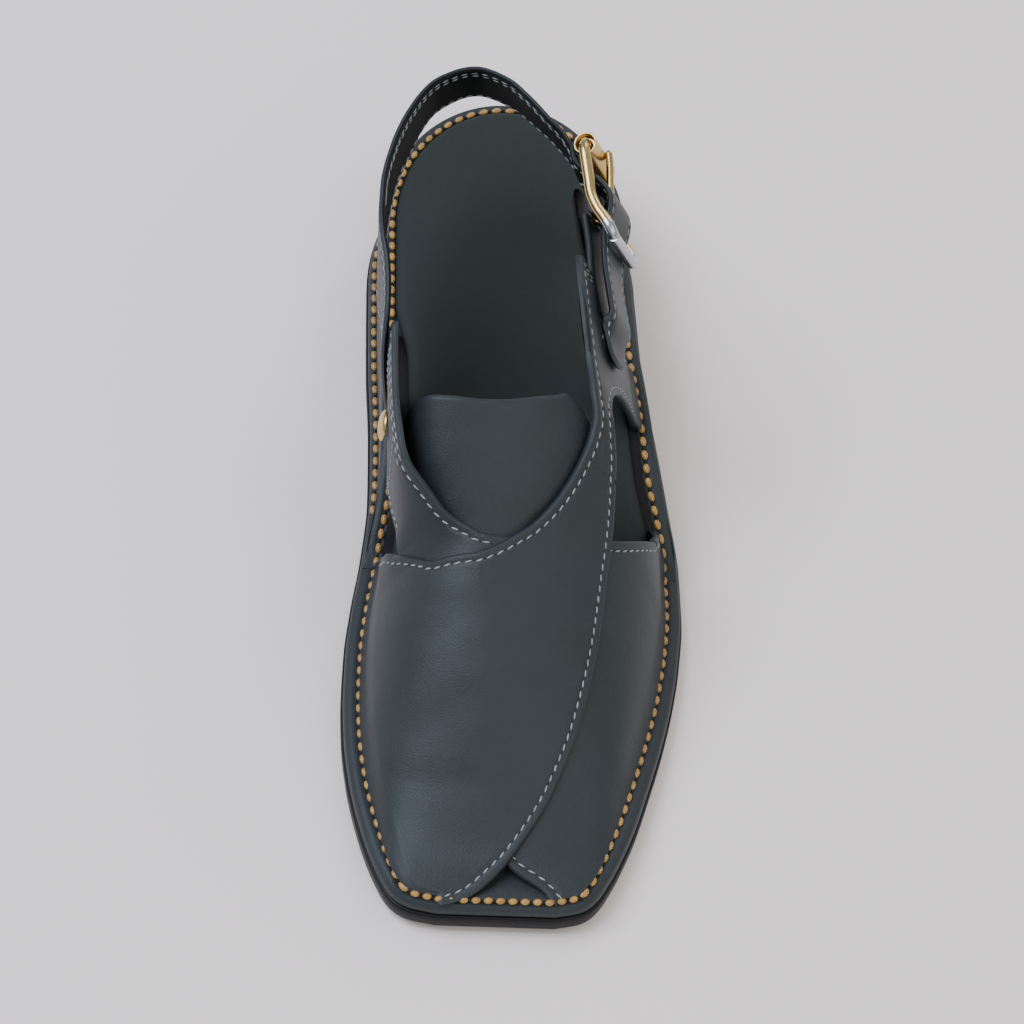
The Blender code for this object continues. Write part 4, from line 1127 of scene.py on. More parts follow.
def no_inset(share, side):
    """The sole's own edge."""
    return np.zeros(np.shape(share))


def welt_edge(share, side):
    """Inner end of the welt's slope."""
    return np.minimum(0.0034, thread_inset(share, side) * 0.62)


def wedge_sunk(share):
    """Share of its full depth that a groove has: none at the wedge's thin front end, all of it behind."""
    return ease(share, 0.41, 0.43)


# Edges of the sole's layers from below: the line that the inset starts from, how far in from it, the share of
# the layer's height, and how far above or below that
OUTSOLE_EDGE = [
    (no_inset, 0.0010, 0.0, 0.0),
    (no_inset, 0.0004, 0.03, 0.0),
    (no_inset, 0.0, 0.12, 0.0),
    (no_inset, 0.0, 0.50, 0.0),
    (no_inset, 0.0, 0.88, 0.0),
    (no_inset, 0.0003, 0.97, 0.0),
    (no_inset, 0.0009, 1.0, 0.0),
]
WELT_EDGE = [
    (no_inset, 0.0010, 0.0, 0.0),
    (no_inset, 0.0006, 0.12, 0.0),
    (no_inset, 0.0007, 0.52, 0.0),
    (no_inset, 0.0012, 0.76, 0.0),
    (no_inset, 0.0022, 0.93, 0.0),
    (welt_edge, 0.0, 1.0, 0.0),
    (thread_inset, -0.0006, 1.0, -0.0002),
    (thread_inset, 0.0, 1.0, -0.0005),
    (thread_inset, 0.0008, 1.0, -0.0002),
    (thread_inset, 0.0014, 1.0, 0.0),
]
WEDGE_EDGE = [
    (rim_inset, -0.0002, 0.0, 0.0),
    (rim_inset, -0.0002, 0.25, 0.0),
    (rim_inset, -0.0001, 0.60, 0.0),
    (rim_inset, 0.0, 0.86, 0.0),
    (rim_inset, 0.0001, 0.94, 0.0),
]
SEAT_EDGE = [
    (rim_inset, 0.0005, 1.0, -0.0006),
    (rim_inset, 0.0014, 1.0, 0.0),
    (rim_inset, RIM_MARGIN - 0.0011, 1.0, -0.0001),
    (rim_inset, RIM_MARGIN, 1.0, -0.0005),
    (rim_inset, RIM_MARGIN + 0.0008, 1.0, -0.0001),
]
SEAT_FLOOR = [
    (rim_inset, RIM_MARGIN + 0.0012, 1.0, 0.0),
]
FOOTBED_EDGE = [
    (footbed_inset, 0.0, 0.0, 0.0),
    (footbed_inset, 0.0, 0.30, 0.0),
    (footbed_inset, 0.0004, 0.50, 0.0),
    (footbed_inset, 0.0011, 0.72, 0.0),
    (footbed_inset, 0.0022, 0.90, 0.0),
    (footbed_inset, 0.0036, 1.0, 0.0),
]


def outsole_height(share, part, more):
    low = sole_bottom(share)
    return low + (welt_top(share) - WELT_THICKNESS - SEAM_GAP - low) * part + more


def welt_height(share, part, more):
    return welt_top(share) - WELT_THICKNESS * (1 - part) + more


def wedge_height(share, part, more):
    return wedge_foot(share) + (wedge_top(share) - wedge_foot(share)) * part + more * wedge_sunk(share)


def seat_height(share, part, more):
    return wedge_top(share) + rim_rise(share) + more * wedge_sunk(share)


def footbed_height(share, part, more):
    return sole_top(share) + SEAM_GAP + INSOLE_THICKNESS * FOOTBED["thickness"](share) * part + more


def levels_of(edge, height):
    """The inset and height functions of a layer's levels from a table of its edge."""
    return [(lambda s, e, line=line, extra=extra: line(s, e) + extra,
             lambda s, part=part, more=more: height(s, part, more)) for line, extra, part, more in edge]


class CHAPPAL_OT_sole(Operator):
    """Rubber outsole, leather welt, covered heel wedge and padded footbed"""

    bl_idname = "chappal.sole"
    bl_label = "Sole"

    def execute(self, context):
        finishes()
        outsole = sole_layer("outsole_rubber", levels_of(OUTSOLE_EDGE, outsole_height), 0.0,
                             ["black_moulded_rubber"])
        settle(outsole, "rubber", "outsole")
        welt = sole_layer("welt_leather", levels_of(WELT_EDGE, welt_height), 0.0, ["slate_calf_leather"])
        settle(welt, "leather", "welt")
        levels = levels_of(WEDGE_EDGE, wedge_height) + levels_of(SEAT_EDGE, seat_height)
        wedge = sole_layer("heel_wedge_leather", levels + levels_of(SEAT_FLOOR, wedge_height), WEDGE_START,
                           ["slate_calf_leather", "black_lining_leather"])
        darken_inside(wedge)
        settle(wedge, "leather", "heel_wedge")
        footbed = sole_layer("footbed_leather", levels_of(FOOTBED_EDGE, footbed_height), FOOTBED_START,
                             ["footbed_calf_leather"], columns=16, crown=INSOLE_CROWN)
        settle(footbed, "footbed", "insole")
        return {"FINISHED"}


class CHAPPAL_OT_bands(Operator):
    """The two crossing bands of the upper, with rolled edges, creases and their edge seams"""

    bl_idname = "chappal.bands"
    bl_label = "Crossing bands"

    def execute(self, context):
        finishes()
        under = band("under_band", UNDER_FRONT, UNDER_REAR, lambda around: np.zeros(np.shape(around)),
                     UNDER_WALL, UNDER_SEAMS)
        settle(under, "leather", "upper")
        # The patch under the stud, and the quarter's own row ahead of the heel strap's panel
        sew_on_last((0.408, 0.402), (0.213, 0.143), UNDER_WALL)
        panel = strap_rows(np.linspace(0.025, 0.165, 50), 6)[:, -1]
        sew_on_wall(panel[:, 1] - QUARTER_ROW, panel[:, 2], UNDER_WALL, -1)

        def over_lift(around):
            return OVER_LIFT * np.minimum(1.0, np.minimum(around / 0.12, (1.0 - around) / 0.10))

        over = band("over_band", OVER_FRONT, OVER_REAR, over_lift, OVER_WALL, OVER_SEAMS, rows=280)
        settle(over, "leather", "upper")
        return {"FINISHED"}


class CHAPPAL_OT_tongue(Operator):
    """The tongue under the bands, crowned and with a dipped, folded top edge"""

    bl_idname = "chappal.tongue"
    bl_label = "Tongue"

    def execute(self, context):
        finishes()
        rows, columns = 90, 90
        across = np.linspace(0, 1, columns + 1)
        up = 0.5 - 0.5 * np.cos(math.pi * np.linspace(0, 1, rows + 1))
        s0, a0 = TONGUE_FOOT["share"](across), TONGUE_FOOT["around"](across)
        s1, a1 = TONGUE_TOP["share"](across), TONGUE_TOP["around"](across)
        share = s0 + (s1 - s0) * up[:, None]
        around = a0 + (a1 - a0) * up[:, None]
        normal = last_normal(share, around, TONGUE_LAST)
        surface = last_surface(share, around, TONGUE_LAST)
        edge = np.minimum(to_line(surface, surface[-1]),
                          np.minimum(to_line(surface, surface[:, 0]), to_line(surface, surface[:, -1])))
        roll = roll_off(edge, TONGUE_WALL * 0.6)
        top = surface - normal * (SEAM_GAP + TONGUE_WALL * 0.5 * roll)[..., None]
        low = surface - normal * (SEAM_GAP + TONGUE_WALL * (1 - 0.4 * roll))[..., None]
        piece = closed_wall("tongue_leather", low, top, ["slate_calf_leather", "black_lining_leather"])
        settle(piece, "leather", "tongue")
        return {"FINISHED"}


def buckle_point(back, up, out):
    """A point in the buckle's own directions, from its centre bar."""
    back, up, out = (np.asarray(v, float)[..., None] for v in (back, up, out))
    return BUCKLE_AT + BUCKLE_BACK * back + BUCKLE_UP * up + BUCKLE_OUT * out


def strap_rows(run, columns):
    """The strap's inner face from its foot to the buckle, in rows from its lower to its upper edge."""
    scale = np.array([BALL_WIDTH, SOLE_LENGTH, STRAP_HEIGHT])
    top = np.stack([STRAP[k](run) for k in ("top_across", "top_along", "top_up")], axis=-1) * scale
    low = np.stack([STRAP[k](run) for k in ("low_across", "low_along", "low_up")], axis=-1) * scale
    t = (np.arange(columns + 1) / columns)[None, :, None]
    rows = low[:, None] + (top - low)[:, None] * t
    floor = sole_top(share_at(rows[..., 1])) + SEAM_GAP * 2
    eased = floor + (rows[..., 2] - floor) * ease(run, 0.0, 0.04)[:, None]
    rows[..., 2] = np.where(run[:, None] < 0.04, eased, np.maximum(rows[..., 2], floor))
    held = (1.0 - ease(rows[..., 1], -0.30 * SOLE_LENGTH, -0.22 * SOLE_LENGTH)) * (run[:, None] < 0.5)
    wall = on_wall(rows[..., 1], rows[..., 2], UNDER_WALL + QUARTER_GAP, -1)
    return rows + (wall - rows) * held[..., None]


def threaded_rows(run, columns):
    """The strap inside and past the buckle."""
    half = 0.42 * BUCKLE_WIDTH * (2 * np.arange(columns + 1) / columns - 1)
    back = np.repeat((THREADED["back"](run) * BUCKLE_LENGTH)[:, None], columns + 1, axis=1)
    out = np.repeat((THREADED["out"](run) * ROLLER_DIAMETER - STRAP_WALL / 2)[:, None], columns + 1, axis=1)
    return buckle_point(back, np.broadcast_to(half, back.shape), out)


def beside_quarter(back, up, lift):
    """Points outside the buckle's eye and the outer quarter, where the tab lies at lift 0."""
    back, up, lift = np.broadcast_arrays(np.asarray(back, float), up, lift)
    plan = buckle_point(back, up, lift - (BUCKLE_BAR / 2 + SEAM_GAP + EYE_WALL))
    wall = on_wall(plan[..., 1], plan[..., 2], OVER_LIFT + OVER_WALL + QUARTER_GAP + lift, 1)
    return plan + (wall - plan) * ease(-back, 0.30 * BUCKLE_LENGTH, 0.78 * BUCKLE_LENGTH)[..., None]


def rounding(side, nearly):
    """How far a rounded end stands back across it, as a share: 0 in its middle and about 1 at both sides."""
    return 1 - np.sqrt(np.maximum(1 - side * side * nearly, 0.0))


def tail_rows(forward, columns):
    """The strap's tail, lying over the tab and the outer quarter, with a rounded end."""
    side = (2 * np.arange(columns + 1) / columns - 1)[None, :]
    forward = forward[:, None]
    back = -0.42 * BUCKLE_LENGTH - forward * 1.12 * BUCKLE_LENGTH
    inset = 0.34 * BUCKLE_WIDTH * rounding(side, 0.999) * ease(forward, 0.55, 1.0)
    rise = 0.05 * BUCKLE_WIDTH * ease(forward, 0.0, 1.0) + 0.42 * BUCKLE_WIDTH * side
    lift = SEAM_GAP + (TAB_WALL + SEAM_GAP) * (1 - ease(forward, 0.62, 0.90))
    return beside_quarter(back + inset, rise, lift)


def finer(rows, times):
    """More rows on a smooth curve through those given."""
    padded = np.concatenate([2 * rows[:1] - rows[1:2], rows, 2 * rows[-1:] - rows[-2:-1]])
    made = []
    for k in range(len(rows) - 1):
        a, b, c, d = padded[k:k + 4]
        for t in np.arange(times) / times:
            made.append(0.5 * (2 * b + (c - a) * t + (2 * a - 5 * b + 4 * c - d) * t ** 2
                               + (3 * b - a - 3 * c + d) * t ** 3))
    return np.array(made + [rows[-1]])


def across_at(rows, shares):
    """The rows read again at other places across them."""
    columns = rows.shape[1] - 1
    smooth = finer(rows.transpose(1, 0, 2), 12).transpose(1, 0, 2)
    at = np.asarray(shares) * columns * 12
    i = np.clip(at.astype(int), 0, smooth.shape[1] - 2)
    t = (at - i)[None, :, None]
    return smooth[:, i] * (1 - t) + smooth[:, i + 1] * t


def sheet_normal(rows, facing):
    """Directions square to a sheet, on the side that faces the point given away from it."""
    normal = np.cross(np.gradient(rows, axis=0), np.gradient(rows, axis=1))
    normal /= np.maximum(np.linalg.norm(normal, axis=-1, keepdims=True), 1e-12)
    return normal * facing


# Where the strap leaves the quarter, so that its seams show on its inner face too
STRAP_FREE = 0.22


def soft_strap(name, rows, wall, facing, materials, seams):
    """A strap of leather on its inner face, its edges and its far end rounded, with its seams."""
    normal = sheet_normal(rows, facing)
    away = {"low": to_line(rows, rows[:, 0]), "top": to_line(rows, rows[:, -1])}
    edge = np.minimum(np.minimum(away["low"], away["top"]), to_line(rows, rows[-1]))
    roll = roll_off(edge, wall * 0.6)
    sunk = groove(seams, away, np.linspace(0, 1, len(rows)), STRAP_SEAM_DEPTH, STRAP_SEAM_WIDTH)
    outer = rows + normal * (wall * (1 - 0.5 * roll) - sunk)[..., None]
    inner = rows + normal * (wall * 0.42 * roll)[..., None]
    obj = closed_wall(name, inner, outer, materials)
    for which, at, start, end in seams:
        for sheet, up, first in ((outer, normal, start), (inner, -normal, max(start, STRAP_FREE))):
            reached = span(len(rows) - 1, first, end)
            keep_seam(*seam_along(sheet, up, away[which], at * MM, reached, which == "low"))
    return obj


class CHAPPAL_OT_heel_strap(Operator):
    """The heel strap with its foot panel and tail, the buckle's tab and the guard flap behind it"""

    bl_idname = "chappal.heel_strap"
    bl_label = "Heel strap"

    def execute(self, context):
        finishes()
        columns = 6
        coarse = np.concatenate([
            strap_rows(np.arange(37) / 36, columns),
            threaded_rows(np.arange(1, 13) / 12, columns),
            tail_rows(np.arange(1, 12) / 11, columns),
        ])
        rows = across_at(finer(coarse, 6), STRAP_ACROSS)
        strap = soft_strap("heel_strap_leather", rows, STRAP_WALL, -1,
                           ["slate_calf_leather", "black_lining_leather"], STRAP_SEAMS)
        settle(strap, "leather", "heel_strap")

        half = 0.32 * BUCKLE_WIDTH
        forward = np.linspace(0.06, 1.10, 44)[:, None]
        up = half * (2 * STRAP_ACROSS - 1)[None, :]
        tab_rows = beside_quarter(-forward * BUCKLE_LENGTH, up, 0.0)
        tab = soft_strap("buckle_tab_leather", tab_rows, TAB_WALL, 1, ["slate_calf_leather"], [])
        settle(tab, "leather", "buckle_tab")
        inner = BUCKLE_BAR / 2 + SEAM_GAP
        # The tab is slit for the prong, so its eye has two halves
        room = PRONG_WIRE / 2 + 0.0006
        for name, low, high in (("tab_eye_upper", room, half), ("tab_eye_lower", -half, -room)):
            eye = ring_piece(name, 0.0, inner, inner + EYE_WALL, low, high, 40, ["slate_calf_leather"])
            settle(eye, "leather")

        t = np.linspace(0, 1, 60)[:, None]
        side = (2 * STRAP_ACROSS - 1)[None, :]
        round_end = 0.38 * BUCKLE_WIDTH * rounding(side, 0.998) * ease(t, 0.4, 1.0)
        back = -0.72 * BUCKLE_LENGTH + 1.05 * BUCKLE_LENGTH * t - round_end
        rise = np.broadcast_to(-0.14 * BUCKLE_WIDTH + 0.50 * BUCKLE_WIDTH * side, back.shape)
        plan = buckle_point(back, rise, np.full(back.shape, -0.90 * ROLLER_DIAMETER - GUARD_WALL))
        seam = quarter_rear(plan[..., 2]) + QUARTER_GAP
        y = np.where(t > 0, np.maximum(plan[..., 1], seam), seam)
        wall = on_wall(y, plan[..., 2], OVER_LIFT + 0.0002, 1)
        guard_rows = wall + (plan - wall) * ease(t, 0.0, 0.5)[..., None]
        guard = soft_strap("buckle_guard_leather", guard_rows, GUARD_WALL, 1, ["black_lining_leather"], [])
        settle(guard, "lining", "buckle_guard")
        return {"FINISHED"}


def quarter_rear(z):
    """Where the outer quarter's rear edge stands at each height."""
    low = np.full(z.shape, 0.845)
    high = np.full(z.shape, 1.0)
    for _ in range(12):
        middle = (low + high) / 2
        above = last_point(OVER_REAR["share"](middle), OVER_REAR["around"](middle), OVER_LIFT)[..., 2] > z
        low = np.where(above, middle, low)
        high = np.where(above, high, middle)
    return along(OVER_REAR["share"]((low + high) / 2))


def tube(path, radius, sides, closed, reference):
    """A round tube along a path. The reference direction keeps its sections from twisting."""
    path = np.asarray(path)
    count = len(path)
    if closed:
        tangent = np.roll(path, -1, axis=0) - np.roll(path, 1, axis=0)
    else:
        tangent = np.gradient(path, axis=0)
    tangent = unit(tangent)
    first = unit(np.cross(tangent, reference))
    second = np.cross(tangent, first)
    radius = np.broadcast_to(np.asarray(radius, float), (count,))
    turn = 2 * math.pi * np.arange(sides) / sides
    ring = first[:, None] * np.cos(turn)[None, :, None] + second[:, None] * np.sin(turn)[None, :, None]
    verts = (path[:, None] + ring * radius[:, None, None]).reshape(-1, 3)
    faces = ring_faces(count, sides, closed)
    if not closed:
        faces.append(list(range(sides))[::-1])
        faces.append([(count - 1) * sides + j for j in range(sides)])
    return verts, faces


def ring_piece(name, back, inner, outer, low, high, sides, materials, ease_edge=0.0003):
    """A short thick-walled tube with eased edges, its axis up the buckle."""
    profile = [(inner, low + ease_edge), (inner + ease_edge, low), (outer - ease_edge, low),
               (outer, low + ease_edge), (outer, high - ease_edge), (outer - ease_edge, high),
               (inner + ease_edge, high), (inner, high - ease_edge)]
    turn = 2 * math.pi * np.arange(sides) / sides
    rings = [buckle_point(back + r * np.cos(turn), np.full(sides, u), r * np.sin(turn)) for r, u in profile]
    faces = ring_faces(len(profile), sides, True)
    return add_piece(name, np.concatenate(rings), faces, materials, sharp=35.0)


def dense_path(path, times, closed):
    """A smooth path through the points given."""
    path = np.asarray(path)
    if not closed:
        return finer(path[:, None], times)[:, 0]
    wrapped = np.concatenate([path[-2:], path, path[:3]])
    fine = finer(wrapped[:, None], times)[:, 0]
    return fine[2 * times:2 * times + len(path) * times]


def domed(base, out, profile, sides=48):
    """A closed dome with a flat foot: rings of (radius, height) from base outwards, then its tip."""
    aside = unit(np.cross(out, (0.0, 0.0, 1.0)))
    up = np.cross(aside, out)
    turn = 2 * math.pi * np.arange(sides) / sides
    ring = aside * np.cos(turn)[:, None] + up * np.sin(turn)[:, None]
    verts = [base + out * height + ring * radius for radius, height in profile[:-1]]
    verts = np.concatenate(verts + [(base + out * profile[-1][1])[None]])
    last = len(verts) - 1 - sides
    tip = [[last + j, last + (j + 1) % sides, last + sides] for j in range(sides)]
    return verts, [list(range(sides))] + ring_faces(len(profile) - 1, sides, False) + tip


# Proportions of the buckle as they show: its bars from the centre bar and its corners, in its own length and
# width, its frame's bow outwards at the front, the frame's wire, and the roller's barrel and its bearing
REAR_BAR = 0.60
FRONT_BAR = -0.40
FRAME_CORNER = 0.16
FRAME_SIDE = (0.35, 0.2, 0.05, -0.1, -0.2)
FRAME_BOW = 0.68
FRAME_WIRE_RADIUS = 0.56
BARREL_LENGTH = 0.84
BARREL_RADIUS = 0.56
BARREL_BORE_RADIUS = 0.46
BEARING_RADIUS = 0.44
BEARING_LENGTH = 0.8

# The stud: height of its place on the inner quarter, how much of its head stands out, and its profile
STUD_UP = 0.059
STUD_SHOWN = 0.7
STUD_FOOT = [(0.94, 0.0), (0.985, 0.03), (1.0, 0.10)]


class CHAPPAL_OT_buckle(Operator):
    """Buckle frame with its centre bar, roller, prong and the domed stud of the inner side"""

    bl_idname = "chappal.buckle"
    bl_label = "Buckle and stud"

    def execute(self, context):
        finishes()
        half = BUCKLE_WIDTH / 2
        rear = REAR_BAR * BUCKLE_LENGTH
        front = FRONT_BAR * BUCKLE_LENGTH
        corner = FRAME_CORNER * BUCKLE_WIDTH
        bow = FRAME_BOW * ROLLER_DIAMETER
        path = []
        for middle, side, start in ((rear - corner, 1, 0), (front + corner, 1, 90),
                                    (front + corner, -1, 180), (rear - corner, -1, 270)):
            for k in range(5):
                turn = math.radians(start + 90 * k / 4)
                back = middle + corner * math.cos(turn)
                up = side * (half - corner) + corner * math.sin(turn)
                path.append(buckle_point(back, up, bow * ease(-back, -0.05 * BUCKLE_LENGTH, -front)))
            if start in (0, 180):
                path += [buckle_point(t * BUCKLE_LENGTH, side * half, bow * ease(-t, -0.05, 0.40))
                         for t in FRAME_SIDE[::side]]
        wire = tube(dense_path(path, 5, True), BUCKLE_WIRE * FRAME_WIRE_RADIUS, 24, True, BUCKLE_OUT)
        frame_piece = add_piece("buckle_frame_brass", *wire, ["polished_brass", "nickelled_steel"])
        # The faces at the frame's front bar take the pale silver colour instead of brass
        centres = np.array([f.center for f in frame_piece.data.polygons])
        forward = (centres - BUCKLE_AT) @ BUCKLE_BACK
        bare = (forward < front + corner * 1.1).astype(np.int32)
        frame_piece.data.polygons.foreach_set("material_index", bare)
        settle(frame_piece, "brass", "buckle_frame")
        bar = [buckle_point(0, t * half, 0.02 * ROLLER_DIAMETER) for t in np.linspace(-1, 1, 9)]
        bar_piece = add_piece("buckle_bar_brass", *tube(bar, BUCKLE_BAR / 2, 20, False, BUCKLE_OUT),
                              ["polished_brass"])
        settle(bar_piece, "brass", "buckle_frame")

        barrel = BARREL_LENGTH * BUCKLE_WIDTH / 2
        bearing = barrel * BEARING_LENGTH
        roller = ring_piece("buckle_roller_brass", rear, BARREL_BORE_RADIUS * ROLLER_DIAMETER,
                            ROLLER_DIAMETER * BARREL_RADIUS, -barrel, barrel, 56, ["polished_brass"], 0.00025)
        core = ring_piece("roller_bearing_brass", rear, ROLLER_BORE / 2, BEARING_RADIUS * ROLLER_DIAMETER,
                          -bearing, bearing, 40, ["polished_brass"], 0.0003)
        settle(core, "brass", "buckle_roller")
        settle(roller, "brass", "buckle_roller")

        # The prong turns round the centre bar with its eye, then reaches out to rest on the roller
        eye = BUCKLE_BAR / 2 + SEAM_GAP + PRONG_WIRE / 2
        prong = []
        for k in range(10):
            turn = math.radians(-175 + 265 * k / 9)
            prong.append(buckle_point(-eye * math.cos(turn), 0, eye * math.sin(turn)))
        rest = ROLLER_DIAMETER / 2 + PRONG_WIRE / 2 + 0.0002
        for t in (0.2, 0.4, 0.6, 0.8, 0.92, 1.0, 1.04):
            prong.append(buckle_point(rear * t, 0, eye + (rest - eye) * ease(t, 0.0, 1.0)))
        prong_path = dense_path(prong, 5, False)
        count = len(prong_path)
        taper = PRONG_WIRE / 2 * (1 - 0.45 * ease(np.arange(count), count - 7, count))
        prong_piece = add_piece("buckle_prong_brass", *tube(prong_path, taper, 20, False, BUCKLE_UP),
                                ["polished_brass"])
        settle(prong_piece, "brass", "buckle_prong")

        low, high = (np.array(c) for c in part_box("stud"))
        along_shoe = (low[1] + high[1]) / 2
        base = on_wall(along_shoe, STUD_UP, UNDER_WALL + SEAM_GAP, -1)
        ahead = on_wall(along_shoe, STUD_UP, UNDER_WALL + SEAM_GAP + 0.001, -1)
        gone = ahead[0] - base[0]
        out = unit(np.array([gone, 0.0, 0.15 * abs(gone)]))
        rise = 0.5 * math.pi * np.linspace(0, 1, 12)[1:]
        head = [(math.cos(v) ** 0.9, 0.12 + 0.88 * math.sin(v)) for v in rise[:-1]]
        profile = STUD_FOOT + head + [(0.0, 1.0)]
        profile = [(r * STUD_DIAMETER / 2, 0.0004 + h * STUD_HEIGHT * STUD_SHOWN) for r, h in profile]
        stud = add_piece("stud_brass", *domed(base, out, profile), ["polished_brass"])
        settle(stud, "brass", "stud")
        return {"FINISHED"}


# Named inputs of the stitch tree: metres, and the slant of each stitch in radians
STITCH_INPUTS = {"Pitch": 0.003, "Length": 0.002, "Width": 0.0006, "Height": 0.0006, "Skew": 0.1,
                 "Hole": 0.0007}


def stitch_tree(name, thread):
    """Geometry Nodes: stitches with a near-black blob between them as painted shade of the needle hole, at an
    even pitch along the seam lines.
    """
    tree = bpy.data.node_groups.new(name, "GeometryNodeTree")
    tree.interface.new_socket("Seams", in_out="INPUT", socket_type="NodeSocketGeometry")
    for label, value in STITCH_INPUTS.items():
        socket = tree.interface.new_socket(label, in_out="INPUT", socket_type="NodeSocketFloat")
        socket.default_value = value
    tree.interface.new_socket("Stitches", in_out="OUTPUT", socket_type="NodeSocketGeometry")
    ports = node(tree, "NodeGroupInput").outputs

    # Points at an even pitch, each turned along the seam and square to the leather
    curve = node(tree, "GeometryNodeMeshToCurve", links={"Mesh": ports["Seams"]})
    even = node(tree, "GeometryNodeResampleCurve", links={"Curve": curve, "Length": ports["Pitch"]},
                mode="LENGTH")
    tangent = node(tree, "GeometryNodeInputTangent")
    lift = node(tree, "GeometryNodeInputNamedAttribute", {"Name": "lift"}, data_type="FLOAT_VECTOR")
    along_seam = node(tree, "FunctionNodeAlignRotationToVector", links={"Vector": tangent}, axis="X")
    square = node(tree, "FunctionNodeAlignRotationToVector", links={"Rotation": along_seam, "Vector": lift},
                  axis="Z", pivot_axis="X")

    # One stitch: a ball with its poles along the seam, so that its thread twists round it
    size = node(tree, "ShaderNodeCombineXYZ",
                links={"X": ports["Length"], "Y": ports["Width"], "Z": ports["Height"]})
    half = node(tree, "ShaderNodeVectorMath", {1: (0.5, 0.5, 0.5)}, {0: size}, operation="MULTIPLY")
    ball = node(tree, "GeometryNodeMeshUVSphere", {"Segments": 10, "Rings": 7, "Radius": 1.0})
    wrap = node(tree, "GeometryNodeStoreNamedAttribute", {"Name": "twist"},
                {"Geometry": ball, "Value": ball.outputs["UV Map"]}, data_type="FLOAT2", domain="CORNER")
    lying = node(tree, "GeometryNodeTransform", {"Rotation": (0.0, math.pi / 2, 0.0)}, {"Geometry": wrap})
    stretched = node(tree, "GeometryNodeTransform", links={"Geometry": lying, "Scale": half})
    slant = node(tree, "ShaderNodeCombineXYZ", links={"Z": ports["Skew"]})
    turned = node(tree, "GeometryNodeTransform", links={"Geometry": stretched, "Rotation": slant})
    coloured = node(tree, "GeometryNodeSetMaterial", {"Material": bpy.data.materials[thread]},
                    {"Geometry": turned})

    # Its needle hole: a near-black blob half a pitch on, sunk into the leather, painted shade of the hole's
    # recess
    pit = node(tree, "GeometryNodeMeshUVSphere", {"Segments": 8, "Rings": 5, "Radius": 0.5})
    pit_size = node(tree, "ShaderNodeCombineXYZ",
                    links={"X": ports["Hole"], "Y": ports["Hole"], "Z": ports["Height"]})
    step = node(tree, "ShaderNodeMath", {1: 0.5}, {0: ports["Pitch"]}, operation="MULTIPLY")
    sink = node(tree, "ShaderNodeMath", {1: -0.32}, {0: ports["Height"]}, operation="MULTIPLY")
    pit_place = node(tree, "ShaderNodeCombineXYZ", links={"X": step, "Z": sink})
    sunk = node(tree, "GeometryNodeTransform",
                links={"Geometry": pit, "Scale": pit_size, "Translation": pit_place})
    dark = node(tree, "GeometryNodeSetMaterial", {"Material": bpy.data.materials["dark_needle_hole"]},
                {"Geometry": sunk})

    pair = node(tree, "GeometryNodeJoinGeometry")
    tree.links.new(coloured.outputs[0], pair.inputs[0])
    tree.links.new(dark.outputs[0], pair.inputs[0])
    placed = node(tree, "GeometryNodeInstanceOnPoints",
                  links={"Points": even, "Instance": pair, "Rotation": square})
    real = node(tree, "GeometryNodeRealizeInstances", links={"Geometry": placed})
    smooth = node(tree, "GeometryNodeSetShadeSmooth", links={"Geometry": real})
    node(tree, "NodeGroupOutput", links={0: smooth})
    return tree


def seam_mesh(name, seams):
    """Seam lines as one mesh of edges, with the leather's own direction kept at each point."""
    verts = np.concatenate([points for points, _ in seams])
    edges = []
    start = 0
    for points, _ in seams:
        edges += [(start + k, start + k + 1) for k in range(len(points) - 1)]
        start += len(points)
    mesh = bpy.data.meshes.new(name)
    mesh.from_pydata(verts.tolist(), edges, [])
    lift = mesh.attributes.new("lift", "FLOAT_VECTOR", "POINT")
    lift.data.foreach_set("vector", np.concatenate([lifts for _, lifts in seams]).ravel())
    return in_scene(name, mesh)


def sew(name, seams, thread, **values):
    """Run the stitch tree along seam lines and keep the result as a plain mesh."""
    carrier = seam_mesh(name + "_lines", seams)
    tree = stitch_tree(name + "_tree", thread)
    modifier = carrier.modifiers.new("Stitches", "NODES")
    modifier.node_group = tree
    for item in tree.interface.items_tree:
        if item.item_type == "SOCKET" and item.in_out == "INPUT" and item.name.lower() in values:
            modifier[item.identifier] = values[item.name.lower()]
    bpy.context.view_layer.update()
    evaluated = carrier.evaluated_get(bpy.context.evaluated_depsgraph_get())
    mesh = bpy.data.meshes.new_from_object(evaluated)
    mesh.name = name
    carrier.modifiers.remove(modifier)
    bpy.data.objects.remove(carrier)
    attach(in_scene(name, mesh), BODY)


# How far the gold thread's line lies above the leather
THREAD_LIFT = 0.0002


def flange_inset(share, side):
    """Line of the lower gold row on the welt, outside the heel wedge."""
    return rim_inset(share, side) * 0.72


def both_sides(inner, outer, inset, height, lift, count):
    """One seam down the inner side, round the end and up the outer side, each from one share to another."""
    lines = []
    for side, (start, end) in ((-1, inner), (1, outer)):
        line = over_sole(np.linspace(start, end, count), side, inset, height)
        line[:, 2] += lift
        lines.append(line)
    points = np.concatenate([lines[0], lines[1][::-1]])
    return points, np.tile((0.0, 0.0, 1.0), (len(points), 1))


